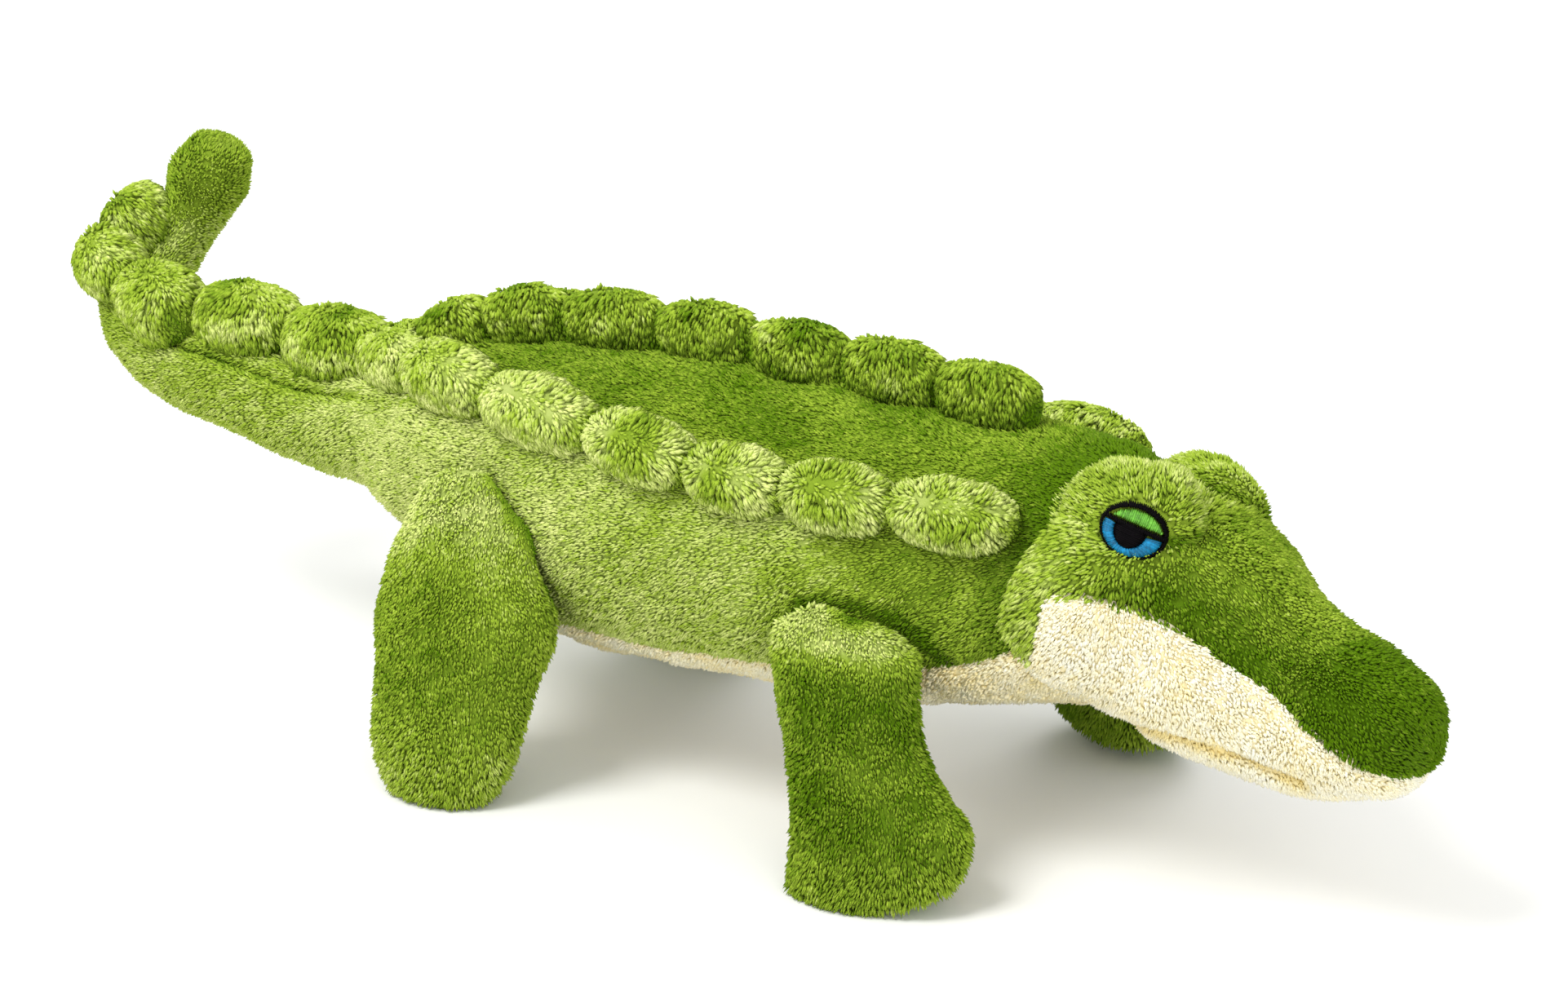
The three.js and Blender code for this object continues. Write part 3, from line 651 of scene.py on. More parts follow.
tail_joint = spline(body_centres, np.array(bending["tail"][1]))
trunk_bag = bag("trunk_plush", tucked(trunk_net, trunk_out, off_belly),
                [neck + (neck_ball - neck_tuck, 0, 0), tail_joint], trunk_tone(trunk_net),
                green_pile)
sewn(trunk_bag, "torso")
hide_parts("torso_skin", "torso_stuffing")
belly = panel("belly_plush", trunk_net, squares_below(off_belly), belly_tone(trunk_net), cream_pile,
              panel_cloth)
sewn(belly, "torso")
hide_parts("belly_panel")
collar_reach, back_share, back_width, belly_width = 0.022, 0.42, 0.00072, 0.00096
trunk_shown = trunk_net[..., 0] < neck[0] + collar_reach
trunk_side, is_back = np.cos(trunk_angles), off_belly > 0
for word, part, slot, tone, width, seed in (
    ("left", is_back & (trunk_side > back_share), "green_pile", trunk_tone, back_width, 11),
    ("back", is_back & (abs(trunk_side) <= back_share), "green_pile", trunk_tone, back_width, 12),
    ("right", is_back & (trunk_side < -back_share), "green_pile", trunk_tone, back_width, 13),
    ("belly", ~is_back, "cream_pile", belly_tone, belly_width, 14),
):
    coat(f"trunk_pile_{word}", trunk_net, part & trunk_shown, swept_back, tone, "torso", slot, seed,
         width=width)

# Head: a green crown and snout and a cream lower jaw, sewn together along the mouth and stuffed.
# Its open back is gathered over the neck, so it has a soft rolled edge there.
head_length, head_half_width, head_rise, head_drop, head_fall = 0.101, 0.038, 0.037, 0.034, 0.032
head_ball = neck_ball + flex_gap
head_turn = np.array(
    Matrix.Rotation(np.radians(-8), 3, "Z") @ Matrix.Rotation(np.radians(-9), 3, "X"))
head_ahead = head_turn @ (1, 0, 0)
# Rows: share of the head's length, then shares of its line's fall, half width, rise and drop
head_shares = np.array([
    (-0.08, 0.00, 1.00, 0.94, 0.86), (0.05, 0.00, 1.03, 0.97, 0.82), (0.18, 0.00, 1.02, 0.92, 0.72),
    (0.31, 0.06, 0.91, 0.87, 0.68), (0.44, 0.18, 0.76, 0.85, 0.68), (0.57, 0.31, 0.61, 0.77, 0.62),
    (0.70, 0.39, 0.48, 0.58, 0.55), (0.82, 0.41, 0.46, 0.47, 0.48), (0.90, 0.43, 0.40, 0.41, 0.40),
])
last_head_row = len(head_shares) - 1
nose_room = head_length * (1 - head_shares[-1, 0])
head_girths = head_shares * (head_length, -head_fall, head_half_width, head_rise, head_drop)


def to_world(points):
    return points @ head_turn.T + neck


def in_head(points):
    return (points - neck) @ head_turn


def head_form(row, angle):
    """Points of the head's cloth, at row numbers and angles up from its left side."""
    row, angle = np.broadcast_arrays(row, angle)
    row, ahead, drawn_in = rounded(row, last_head_row)
    x, z, wide, rise, drop = np.moveaxis(spline(head_girths, row), -1, 0)
    tall = np.where(np.sin(angle) > 0, rise, drop) - pile_depth
    return to_world(np.stack([
        x + ahead * (nose_room - pile_depth), (wide - pile_depth) * np.cos(angle) * drawn_in,
        z + tall * np.sin(angle) * drawn_in,
    ], axis=-1))


def cupped_head(rings, sides):
    """Rings of the head from where it leaves the neck's ball, with a rolled edge there and a
    hollow behind it on that ball, and the number of rings in the hollow."""
    nose_row, roll_reach, roll_depth, hollow_rings = last_head_row + 0.97, 0.0045, 0.0022, 8
    angles = turns_of(sides)
    trial = np.linspace(0, nose_row, 300)[:, None]
    arm = head_form(trial, angles) - neck
    past = (arm @ head_ahead > 0) & (np.linalg.norm(arm, axis=-1) > head_ball)
    start = trial[past.argmax(axis=0), 0]
    net = head_form(start + np.linspace(0, 1, rings)[:, None] * (nose_row - start), angles)
    out, _ = normals_of(net)
    steps = np.linalg.norm(np.diff(net, axis=0), axis=-1)
    near = ramp(np.concatenate([np.zeros((1, sides)), steps.cumsum(axis=0)]), roll_reach, 0)
    net = net - out * (roll_depth * (1 - np.sqrt(1 - near**2)))[..., None]
    arm = net - neck
    reach = np.linalg.norm(arm, axis=-1, keepdims=True)
    net = np.where(reach < head_ball, neck + unit(arm) * head_ball, net)
    way = unit(net[0] - neck)
    hollow = [neck + head_ball * unit(way * share + head_ahead * (1 - share))
              for share in np.linspace(0.1, 0.95, hollow_rings)]
    return np.concatenate([hollow, net]), hollow_rings


head_net, head_hollow = cupped_head(170, 180)
head_out, _ = normals_of(head_net)
head_lump = waves(head_net, 0.03, 21) * lump_height
# Places on the right side of the head, their reach and how far the filling swells the skin there
for place, reach, swell in (
    ((0.030, -0.031, 0.010), 0.010, 0.0030), ((0.026, -0.036, 0.002), 0.011, 0.0032),
    ((0.024, -0.034, -0.012), 0.010, 0.0020), ((0.022, -0.030, 0.020), 0.010, 0.0016),
    ((0.050, -0.027, -0.010), 0.012, 0.0012), ((0.086, -0.010, -0.002), 0.012, 0.0012),
):
    for side in (1, -1):
        off = head_net - to_world(np.array(place) * (1, -side, 1))
        head_lump += swell * fading(np.linalg.norm(off, axis=-1), reach)
head_net[head_hollow + 2:] += (head_out * head_lump[..., None])[head_hollow + 2:]
# Mouth seam, up round the jaw's rear end and on to the snout, and the fold in the jaw below it:
# shares of the head's length and of its fall
mouth_shares = np.array([
    (-0.30, -0.20), (0.05, -0.21), (0.185, -0.26), (0.228, -0.13), (0.24, 0.06), (0.25, 0.24),
    (0.32, 0.28), (0.41, 0.22), (0.50, 0.10), (0.60, -0.07), (0.70, -0.21), (0.78, -0.37),
    (0.87, -0.53), (0.95, -0.63), (1.10, -0.74),
])
crease_shares = np.array([(0.34, -0.67), (0.46, -0.66), (0.60, -0.70), (0.76, -0.80)])
crease_reach, crease_depth = 0.0017, 0.0022
mouth_line = smooth_line(mouth_shares * (head_length, head_fall), 90)
crease_line = smooth_line(crease_shares * (head_length, head_fall), 24)
off_mouth, to_mouth = from_seam(side_view(in_head(head_net)), mouth_line)
snap = np.zeros(head_net.shape)
snap[..., [0, 2]] = to_mouth * (np.abs(off_mouth) < seam_snap)[..., None]
head_net += snap @ head_turn.T
head_out, _ = normals_of(head_net)
off_crease, _ = from_seam(side_view(in_head(head_net)), crease_line)
head_net = grooved(head_net, head_out, off_mouth, seam_reach, seam_depth)
head_net = grooved(head_net, head_out, off_crease, crease_reach, crease_depth)


def head_tone(points, read=as_is):
    """Light on the cheeks, darker along the snout, darkest on the nose. Painted light lies
    along the top of the head and snout.
    """
    local = in_head(points)
    ahead = local[..., 0] / head_length
    nose = ramp(ahead, 0.74, 0.84)
    # Painted light on the top of the head and snout
    top = ramp(local[..., 2] + 0.35 * local[..., 0], 0.0256, 0.0336)
    tone = 0.55 - 0.50 * ramp(ahead, 0.28, 0.44) + 0.26 * top * (1 - nose) - 0.12 * nose
    tone -= 0.45 * ramp(ahead, 0.26, 0.16) * ramp(local[..., 2], 0.016, 0.024)
    return tone + mottled(points, 23, (0.06, 0.022), (0.05, 0.007))


def jaw_tone(points, read=as_is):
    off, _ = from_seam(side_view(in_head(points)), crease_line)
    # Painted shade in the fold of the jaw
    return 0.60 - 0.7 * fading(off, crease_reach) + mottled(points, 25, (0.12, 0.02), (0.08, 0.006))


def cheek_share(points):
    return ramp(in_head(points)[..., 0] / head_length, 0.55, 0.30)


def head_nap(roots):
    cheek = cheek_share(roots["place"])[:, None]
    down = np.array((0, 0, -1))
    return (0.5 - 1.0 * cheek) * roots["along"] + (0.3 + 0.45 * cheek) * down + 0.75 * roots["out"]


crown_ends = [neck + head_ahead * head_ball, head_form(last_head_row + 1.0, 0.0)]
crown_bag = bag("crown_plush", tucked(head_net, head_out, off_mouth), crown_ends,
                head_tone(head_net), green_pile)
sewn(crown_bag, "head")
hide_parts("crown_skin", "head_stuffing")
jaw = panel("jaw_plush", head_net, squares_below(off_mouth), jaw_tone(head_net), cream_pile,
            panel_cloth)
sewn(jaw, "head")
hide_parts("jaw_panel")

# Eye mounds: two stuffed domes of the same plush, sewn on the crown, each with a clear patch
# where the eye is stitched.
mound_halves = np.array((0.015, 0.014, 0.0155))
mound_places = {1: np.array((0.0262, 0.0148, 0.0180)), -1: np.array((0.027, -0.016, 0.020))}
mound_rings, mound_sides, mound_reach, mound_seat = 60, 110, np.pi * 0.85, 0.0045
eye_halves, eye_tilt = np.array((0.0078, 0.0062)), np.radians(-14)
eye_ahead, eye_rise = 0.0012, 0.0016


def eye_look_of(turn):
    """Which way an eye looks, drawn on a right mound: along, out of and up its flat pattern."""
    looks = Matrix.Rotation(np.radians(turn), 3, "Z") @ Matrix.Rotation(np.radians(-4), 3, "X")
    return np.array(looks).T * ((1,), (-1,), (1,))


eye_looks = {1: eye_look_of(16), -1: eye_look_of(38)}
head_rows = np.linspace(0, last_head_row, 200)
head_starts = spline(head_girths, head_rows)[:, 0]


def within(over, up, wide, rise, drop, grow):
    """Whether places of a section lie inside its rounded outline, let out by a margin."""
    tall = np.where(up > 0, rise, drop) + grow
    return np.hypot(over / (wide + grow), up / tall) < 1


def inside_head(points, grow):
    """Whether places in the head's frame lie inside its surface."""
    row = np.interp(points[..., 0], head_starts, head_rows)
    _, z, wide, rise, drop = np.moveaxis(spline(head_girths, row), -1, 0)
    return within(points[..., 1], points[..., 2] - z, wide, rise, drop, grow)


def lifted(points, direction, inside, most=0.06, halvings=13):
    """Moves the places that are inside a form along a direction until they are out of it."""
    low, high = np.zeros(points.shape[:-1]), np.where(inside(points), most, 0.0)
    moved = high > 0
    for _ in range(halvings):
        middle = (low + high) / 2
        still = inside(points + direction * middle[..., None]) & moved
        low, high = np.where(still, middle, low), np.where(still, high, middle)
    return points + direction * high[..., None], moved


def on_mound(across, up, height, side):
    """Places on a mound where an eye's flat pattern lies, and their normals, drawn on the right."""
    eye_right, eye_look, eye_up = eye_looks[side]
    halves = mound_halves + np.asarray(height)[..., None]
    base = (across + eye_ahead)[..., None] * eye_right + (up + eye_rise)[..., None] * eye_up
    a = np.sum((eye_look / halves) ** 2, axis=-1)
    b = np.sum(base * eye_look / halves**2, axis=-1)
    c = np.sum((base / halves) ** 2, axis=-1) - 1
    reach = (np.sqrt(np.maximum(b * b - a * c, 0)) - b) / a
    place = base + reach[..., None] * eye_look
    return place, unit(place / halves**2)


def from_mound(points, side):
    """From the right mound's own frame to the head's, on the side asked for."""
    return points * (1, -side, 1) + mound_places[side]


def in_mound(points, side):
    """From the world to the frame that a mound is drawn in."""
    return (in_head(points) - mound_places[side]) * (1, -side, 1)


def eye_share(local, side):
    """How far out from the eye's middle a place on a mound is, 1 at the eye's edge."""
    eye_right, eye_look, eye_up = eye_looks[side]
    across, up = local @ eye_right - eye_ahead, local @ eye_up - eye_rise
    turned = np.stack([across * np.cos(eye_tilt) + up * np.sin(eye_tilt),
                       up * np.cos(eye_tilt) - across * np.sin(eye_tilt)], axis=-1)
    return np.where(local @ eye_look > 0, np.hypot(*np.moveaxis(turned / eye_halves, -1, 0)), 9.0)


mound_polar = np.linspace(0.02, mound_reach, mound_rings)[:, None]
mound_turns = turns_of(mound_sides)
mound_axis = unit(np.array((0.0, -0.6, 0.8)))
mound_side = np.cross(mound_axis, (1, 0, 0))
mound_way = (
    np.cos(mound_polar)[..., None] * mound_axis
    + (np.sin(mound_polar) * np.cos(mound_turns))[..., None] * np.array((1, 0, 0))
    + (np.sin(mound_polar) * np.sin(mound_turns))[..., None] * mound_side
)
# The brow swells ahead of the eye and towards the other mound
brow_way, brow_swell = unit(np.array((0.77, 0.60, 0.20))), 0.0040
brow = ramp(mound_way @ brow_way, 0.45, 0.90)
brow = brow_swell * (brow**2 * (3 - 2 * brow))[..., None]
mound_local = mound_way * (mound_halves - pile_depth + brow)
for word, side in (("left", 1), ("right", -1)):
    outward = mound_axis * (1, -side, 1)
    inner, seated = lifted(from_mound(mound_local, side), outward,
                           lambda points: inside_head(points, -mound_seat))
    mound_net = to_world(inner)
    off_eye = eye_share(mound_local, side) > 0.96
    behind_head = np.linalg.norm(inner, axis=-1) < head_ball + 0.002
    eye_middle = to_world(from_mound(on_mound(np.zeros(()), np.zeros(()), 0.0, side)[0], side))

    def mound_tone(points, read=as_is):
        """Lighter away from the eye, with painted shade in the seam ahead. The left mound is
        darker.
        """
        local = in_mound(points, side)
        rim = ramp(eye_share(local, side), 1.4, 2.2)
        seam_shade = inside_head(in_head(points), 0.0020) * ramp(local[..., 0], 0, 0.008)
        tone = 0.42 - 0.12 * (side > 0) - 0.3 * seam_shade + 0.24 * rim
        return tone + mottled(points, 31, (0.06, 0.012), (0.05, 0.005))

    def mound_nap(roots):
        away = roots["place"] - eye_middle
        away -= roots["out"] * np.sum(away * roots["out"], axis=-1, keepdims=True)
        return 0.5 * unit(away) - 0.3 * head_ahead + 0.75 * roots["out"]

    mound = bag(f"eye_mound_plush_{word}", mound_net, ends_of(mound_net), mound_tone(mound_net),
                green_pile)
    sewn(mound, "head")
    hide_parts(f"eye_mound_{word}")
    coat(f"eye_mound_pile_{word}", mound_net, (~seated | behind_head) & off_eye, mound_nap,
         mound_tone, "head", "dark_pile", 33 + side, spacing=0.00062, length=0.0024, width=0.00078)

under_mound = np.zeros(head_net.shape[:2], bool)
for side in (1, -1):
    local = in_mound(head_net, side)
    under_mound |= np.linalg.norm(local / (mound_halves - 2.5 * pile_depth), axis=-1) < 1
head_furred = ~under_mound
head_furred[: head_hollow - 1] = False
is_cheek, is_crown = cheek_share(head_net) > 0.5, off_mouth > 0
for word, part, slot, tone, seed, spacing, length, width in (
    ("cheeks", is_crown & is_cheek, "green_pile", head_tone, 27, 0.00076, 0.0031, 0.00098),
    ("snout", is_crown & ~is_cheek, "green_pile", head_tone, 28, 0.00062, 0.0021, 0.00074),
    ("jaw", ~is_crown, "cream_pile", jaw_tone, 29, 0.00057, 0.0020, 0.00088),
):
    coat(f"head_pile_{word}", head_net, part & head_furred, head_nap, tone, "head", slot, seed,
         spacing=spacing, length=length, width=width)

# Eyes: satin stitch in three colours of thread on each mound. A black outline and lid line, a
# blue iris below, a black pupil over it and a bright green upper lid.
thread_width, thread_step, thread_lift = 0.00060, 0.00044, 0.0008
outline_width, pupil_radius, pupil_aside, lid_slope = 0.0011, 0.0036, -0.0009, np.radians(-18)
lid_edge, lid_line = 0.0000, 0.0015


def thread_finish(name, code, shine):
    """Rayon thread: smooth, with a faint twist along it. Its colour runs between painted shade
    and painted highlight with the twist and with a tone of each thread.
    """
    finish, colour = Finish(name, Roughness=0.5, Specular_IOR_Level=shine), dye(code)
    twist, tone = finish.noise(Scale=1700.0, Detail=2.0), finish.attribute("tone")
    thread_shade, thread_highlight = (tuple(min(c * by, 1.0) for c in colour[:3]) + (1.0,) for by in (0.5, 1.5))
    finish.drives("Base Color", finish.ramped(tone * 0.5 + (twist - 0.5) * 1.2 + 0.25,
                                              (0.15, thread_shade), (0.95, thread_highlight), (0.55, colour)))
    finish.bumped(twist, strength=0.4, distance=0.0001)
    return finish.material


threads = {
    "black_thread": thread_finish("black_thread", "#060406", 0.04),
    "blue_thread": thread_finish("blue_thread", "#0a709c", 0.25),
    "green_thread": thread_finish("green_thread", "#5e9e32", 0.25),
}


def in_slope(across, up, slope=lid_slope):
    """From a pattern drawn along the lid's slope to the eye's upright one."""
    return across * np.cos(slope) - up * np.sin(slope), across * np.sin(slope) + up * np.cos(slope)


def sloped(run, height):
    """Places at one height above the lid's slope."""
    return in_slope(run, np.full(len(run), height))


def edge_at(turn, inset):
    """The eye's outline at angles in its upright pattern, drawn in by an inset."""
    return in_slope((eye_halves[0] - inset) * np.cos(turn - eye_tilt),
                    (eye_halves[1] - inset) * np.sin(turn - eye_tilt), eye_tilt)


def inside_eye(across, up, inset):
    """Whether places of the upright pattern lie inside the eye's outline, drawn in by an inset."""
    across, up = in_slope(across, up, -eye_tilt)
    return np.hypot(across / (eye_halves[0] - inset), up / (eye_halves[1] - inset)) < 1


def outline_at(turn):
    """The outline's width: heavy above and ahead, fine below."""
    return outline_width * (1 + 0.6 * np.cos(turn - np.radians(55)))


def stitched(name, starts, ends, lift, colour, node, side, seed):
    """Satin stitches side by side: each a thin thread that rises from the cloth and dips again."""
    stations, sides, sunk, flatness, needle_stray, bluntness = 7, 6, 0.0002, 0.8, 0.00005, 0.35
    drawn = np.random.default_rng(seed)
    starts, ends = np.stack(starts, axis=-1), np.stack(ends, axis=-1)
    count = len(starts)
    start_stray, end_stray = drawn.normal(scale=needle_stray, size=(2, count, 2))
    share = np.linspace(0, 1, stations)
    line = ((starts + start_stray)[:, None] * (1 - share[:, None])
            + (ends + end_stray)[:, None] * share[:, None])
    arch = np.sin(np.pi * share) ** bluntness
    height = lift * arch * drawn.uniform(0.92, 1.08, (count, 1)) - sunk
    middle, out = on_mound(line[..., 0], line[..., 1], height, side)
    aside = np.cross(unit(np.gradient(middle, axis=1)), out)
    turns = turns_of(sides)
    radius = thread_width * 0.5 * (0.55 + 0.45 * arch)
    ring = (aside[:, :, None] * np.cos(turns)[:, None]
            + out[:, :, None] * np.sin(turns)[:, None] * flatness)
    points = to_world(from_mound(middle[:, :, None] + ring * radius[:, None, None], side))
    corner = np.arange(stations * sides).reshape(stations, sides)
    quads = np.stack([corner[:-1], corner[1:], beside(corner)[1:], beside(corner)[:-1]], axis=-1)
    caps = [corner[0], corner[-1][::-1]]
    flat = np.array([(k + dk, station + ds) for station in range(stations - 1)
                     for k in range(sides) for dk, ds in ((0, 0), (0, 1), (1, 1), (1, 0))])
    flat = flat.reshape(-1, 4, 2) / (sides, stations + 1.0) * 0.94 + 0.03
    if side > 0:
        quads, flat, caps = quads[..., ::-1], flat[:, ::-1], [cap[::-1] for cap in caps]
    pattern = np.concatenate([quads.ravel(), *caps])
    faces = (pattern + stations * sides * np.arange(count)[:, None]).ravel()
    sizes = np.tile([4] * (stations - 1) * sides + [sides] * 2, count)
    disc = np.stack([np.cos(turns), np.sin(turns)], axis=-1) * 0.04
    flat = np.concatenate([flat.reshape(-1, 2), disc + (0.25, 0.93), disc + (0.75, 0.93)])
    tone = np.repeat(drawn.random(count), stations * sides)
    made = linked(name, points.reshape(-1, 3), faces, sizes, {"tone": tone}, threads[colour],
                  celled(flat, count))
    sewn(made, "head")
    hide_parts(node)


for word, side in (("left", 1), ("right", -1)):
    seed = 40 + 10 * side
    turns = np.arange(0, 2 * np.pi, thread_step / eye_halves.mean())
    stitched(f"eye_outline_rim_{word}", edge_at(turns, outline_at(turns)), edge_at(turns, 0.0),
             thread_lift, "black_thread", f"eye_outline_{word}", side, seed)
    run = np.arange(-0.0120, 0.0120, thread_step)
    run = run[inside_eye(*sloped(run, lid_edge + lid_line / 2), outline_width * 0.4)]
    stitched(f"eye_outline_line_{word}", sloped(run, lid_edge), sloped(run, lid_edge + lid_line),
             thread_lift * 1.15, "black_thread", f"eye_outline_{word}", side, seed + 1)
    turns = np.arange(0, 2 * np.pi, thread_step * 0.8 / 0.005)
    inner = np.stack([pupil_radius * np.cos(turns) + pupil_aside, pupil_radius * np.sin(turns)])
    rim = np.stack(edge_at(turns, outline_at(turns) - 0.0002))
    low = (in_slope(*rim, -lid_slope)[1] < lid_edge) & (in_slope(*inner, -lid_slope)[1] < lid_edge)
    stitched(f"iris_stitches_{word}", inner[:, low], rim[:, low], thread_lift * 0.95, "blue_thread",
             f"iris_{word}", side, seed + 2)
    rise = np.arange(-pupil_radius * 0.97, lid_edge + 0.0010, thread_step * 0.9)
    half = np.sqrt(np.maximum((pupil_radius * 1.08) ** 2 - rise**2, 1e-8))
    across, lift = in_slope(pupil_aside, 0.0, -lid_slope)
    stitched(f"pupil_stitches_{word}", in_slope(across - half, rise + lift),
             in_slope(across + half, rise + lift), thread_lift * 1.1, "black_thread",
             f"pupil_{word}", side, seed + 3)
    height = np.linspace(lid_edge + lid_line, 0.009, 200)[:, None]
    held = inside_eye(*in_slope(*np.broadcast_arrays(run, height)), outline_width * 1.4)
    top, run = (height * held).max(axis=0)[held.any(axis=0)], run[held.any(axis=0)]
    stitched(f"eyelid_stitches_{word}", sloped(run, lid_edge + lid_line * 0.9), in_slope(run, top),
             thread_lift, "green_thread", f"eyelid_{word}", side, seed + 4)

# Legs: each is two flat pieces of plush sewn round the edge, stuffed, and stitched to the side
# of the trunk at the shoulder or the hip.
# Shares, up each leg: of its height, its centre ahead, its half length and its half thickness
leg_patterns = {
    "front": {
        "behind_neck": 0.019, "toe_lift": 0.006, "height": 0.0595, "spread": 0.057,
        "half_length": 0.022, "half_thickness": 0.010, "lean": 0.0158, "hip_height": 0.052,
        "toe_in": np.radians(14), "slant": 0.22,
        "shares": np.array([
            (0.00, 0.16, 0.85, 0.90), (0.065, 0.20, 0.95, 1.00), (0.215, 0.22, 0.96, 1.00),
            (0.387, 0.05, 0.85, 0.96), (0.56, -0.13, 0.75, 0.98), (0.75, -0.27, 0.77, 1.06),
            (0.90, -0.31, 0.80, 0.92), (0.945, -0.30, 0.64, 0.72),
        ]),
    },
    "hind": {
        "behind_neck": 0.132, "toe_lift": 0.0, "height": 0.074, "spread": 0.060,
        "half_length": 0.020, "half_thickness": 0.010, "lean": 0.024, "hip_height": 0.056,
        "toe_in": np.radians(6), "slant": 0.0,
        "shares": np.array([
            (0.00, 0.04, 0.54, 0.70), (0.05, 0.00, 0.72, 0.88), (0.18, -0.03, 0.96, 1.00),
            (0.36, 0.00, 1.06, 1.05), (0.55, 0.04, 1.20, 1.12), (0.75, -0.05, 1.00, 0.92),
            (0.92, 0.05, 0.87, 0.40),
        ]),
    },
}
leg_swing, leg_sides, sole_round, sole_gap = np.radians(16), 120, 0.003, 0.0006
edge_reach, edge_depth, leg_seam_reach, foot_pile_extra = 0.10, 0.0010, 0.0030, 0.0008
far_foot_ahead, far_heel_up, far_heel_start = 0.005, 0.0045, 0.012
body_rows = np.linspace(0, tail_start + 2, 300)
body_starts = spline(body_centres, body_rows)[:, 0]
leg_angles = turns_of(leg_sides)


def inside_trunk(points, grow):
    """Whether places lie inside the trunk's surface."""
    row = np.interp(-points[..., 0], -body_starts, body_rows)
    wide, rise, drop = np.moveaxis(spline(body_girths, row), -1, 0)
    up = points[..., 2] - spline(body_centres, row)[..., 2]
    return within(points[..., 1], up, wide, rise, drop, grow)


def leg_form(leg, row, angle):
    """Points of a left leg's cloth. Rows below 0 close the sole, rows past the last the top."""
    row, angle = np.broadcast_arrays(row, angle)
    held, ahead, drawn_in = rounded(row, len(leg["shares"]) - 1)
    share, centre, half, thick = np.moveaxis(spline(leg["shares"], np.maximum(held, 0)), -1, 0)
    drawn_in = drawn_in * np.clip(1 + row, 0, 1)
    share = share + ahead * (1 - leg["shares"][-1, 0])
    z = share * leg["height"]
    tuck = sole_round * (1 - np.sqrt(1 - np.clip(1 - z / sole_round, 0, 1) ** 2)) + pile_depth
    pinch = edge_depth * fading(np.sin(angle), edge_reach)
    reach = (half - tuck / leg["half_length"]) * leg["half_length"] - pinch
    x = centre * leg["half_length"] + reach * np.cos(angle) * drawn_in
    y = -share * leg["lean"] + (thick * leg["half_thickness"] - tuck) * np.sin(angle) * drawn_in
    toe = np.maximum(x / leg["half_length"], 0) ** 2 * (1 - share) ** 2
    z = z + leg["toe_lift"] * toe - leg["slant"] * x * np.clip(2 * share - 1, 0, 1) ** 2
    turned = np.cos(leg["toe_in"]) * x + np.sin(leg["toe_in"]) * y
    over = -np.sin(leg["toe_in"]) * x + np.cos(leg["toe_in"]) * y
    return np.stack([neck[0] - leg["behind_neck"] + turned, leg["spread"] + over,
                     np.maximum(z, sole_gap)], axis=-1)


def leg_net_of(leg, inside):
    """Rings of a left leg from the sole up to where each side of it enters the trunk, then rings
    that close that end, and the number of rings before them."""
    sole_rings, side_rings, cap_rings = 14, 110, 9
    trial = np.linspace(0.5, len(leg["shares"]) - 0.03, 400)[:, None]
    entered = inside(leg_form(leg, trial, leg_angles))
    top = np.where(entered.any(axis=0), trial[entered.argmax(axis=0), 0], trial[-1, 0])
    sole = np.broadcast_to(np.linspace(-0.95, 0, sole_rings)[:, None], (sole_rings, leg_sides))
    rows = np.concatenate([sole, np.linspace(0, 1, side_rings)[1:, None] * top])
    net = leg_form(leg, rows, leg_angles)
    inward = (net[-1].mean(axis=0) - net[-1]) * np.linspace(0.1, 0.97, cap_rings)[:, None, None]
    cap, _ = lifted(net[-1] + inward, np.array((0, 1.0, 0)), inside)
    return np.concatenate([net, cap]), len(net)


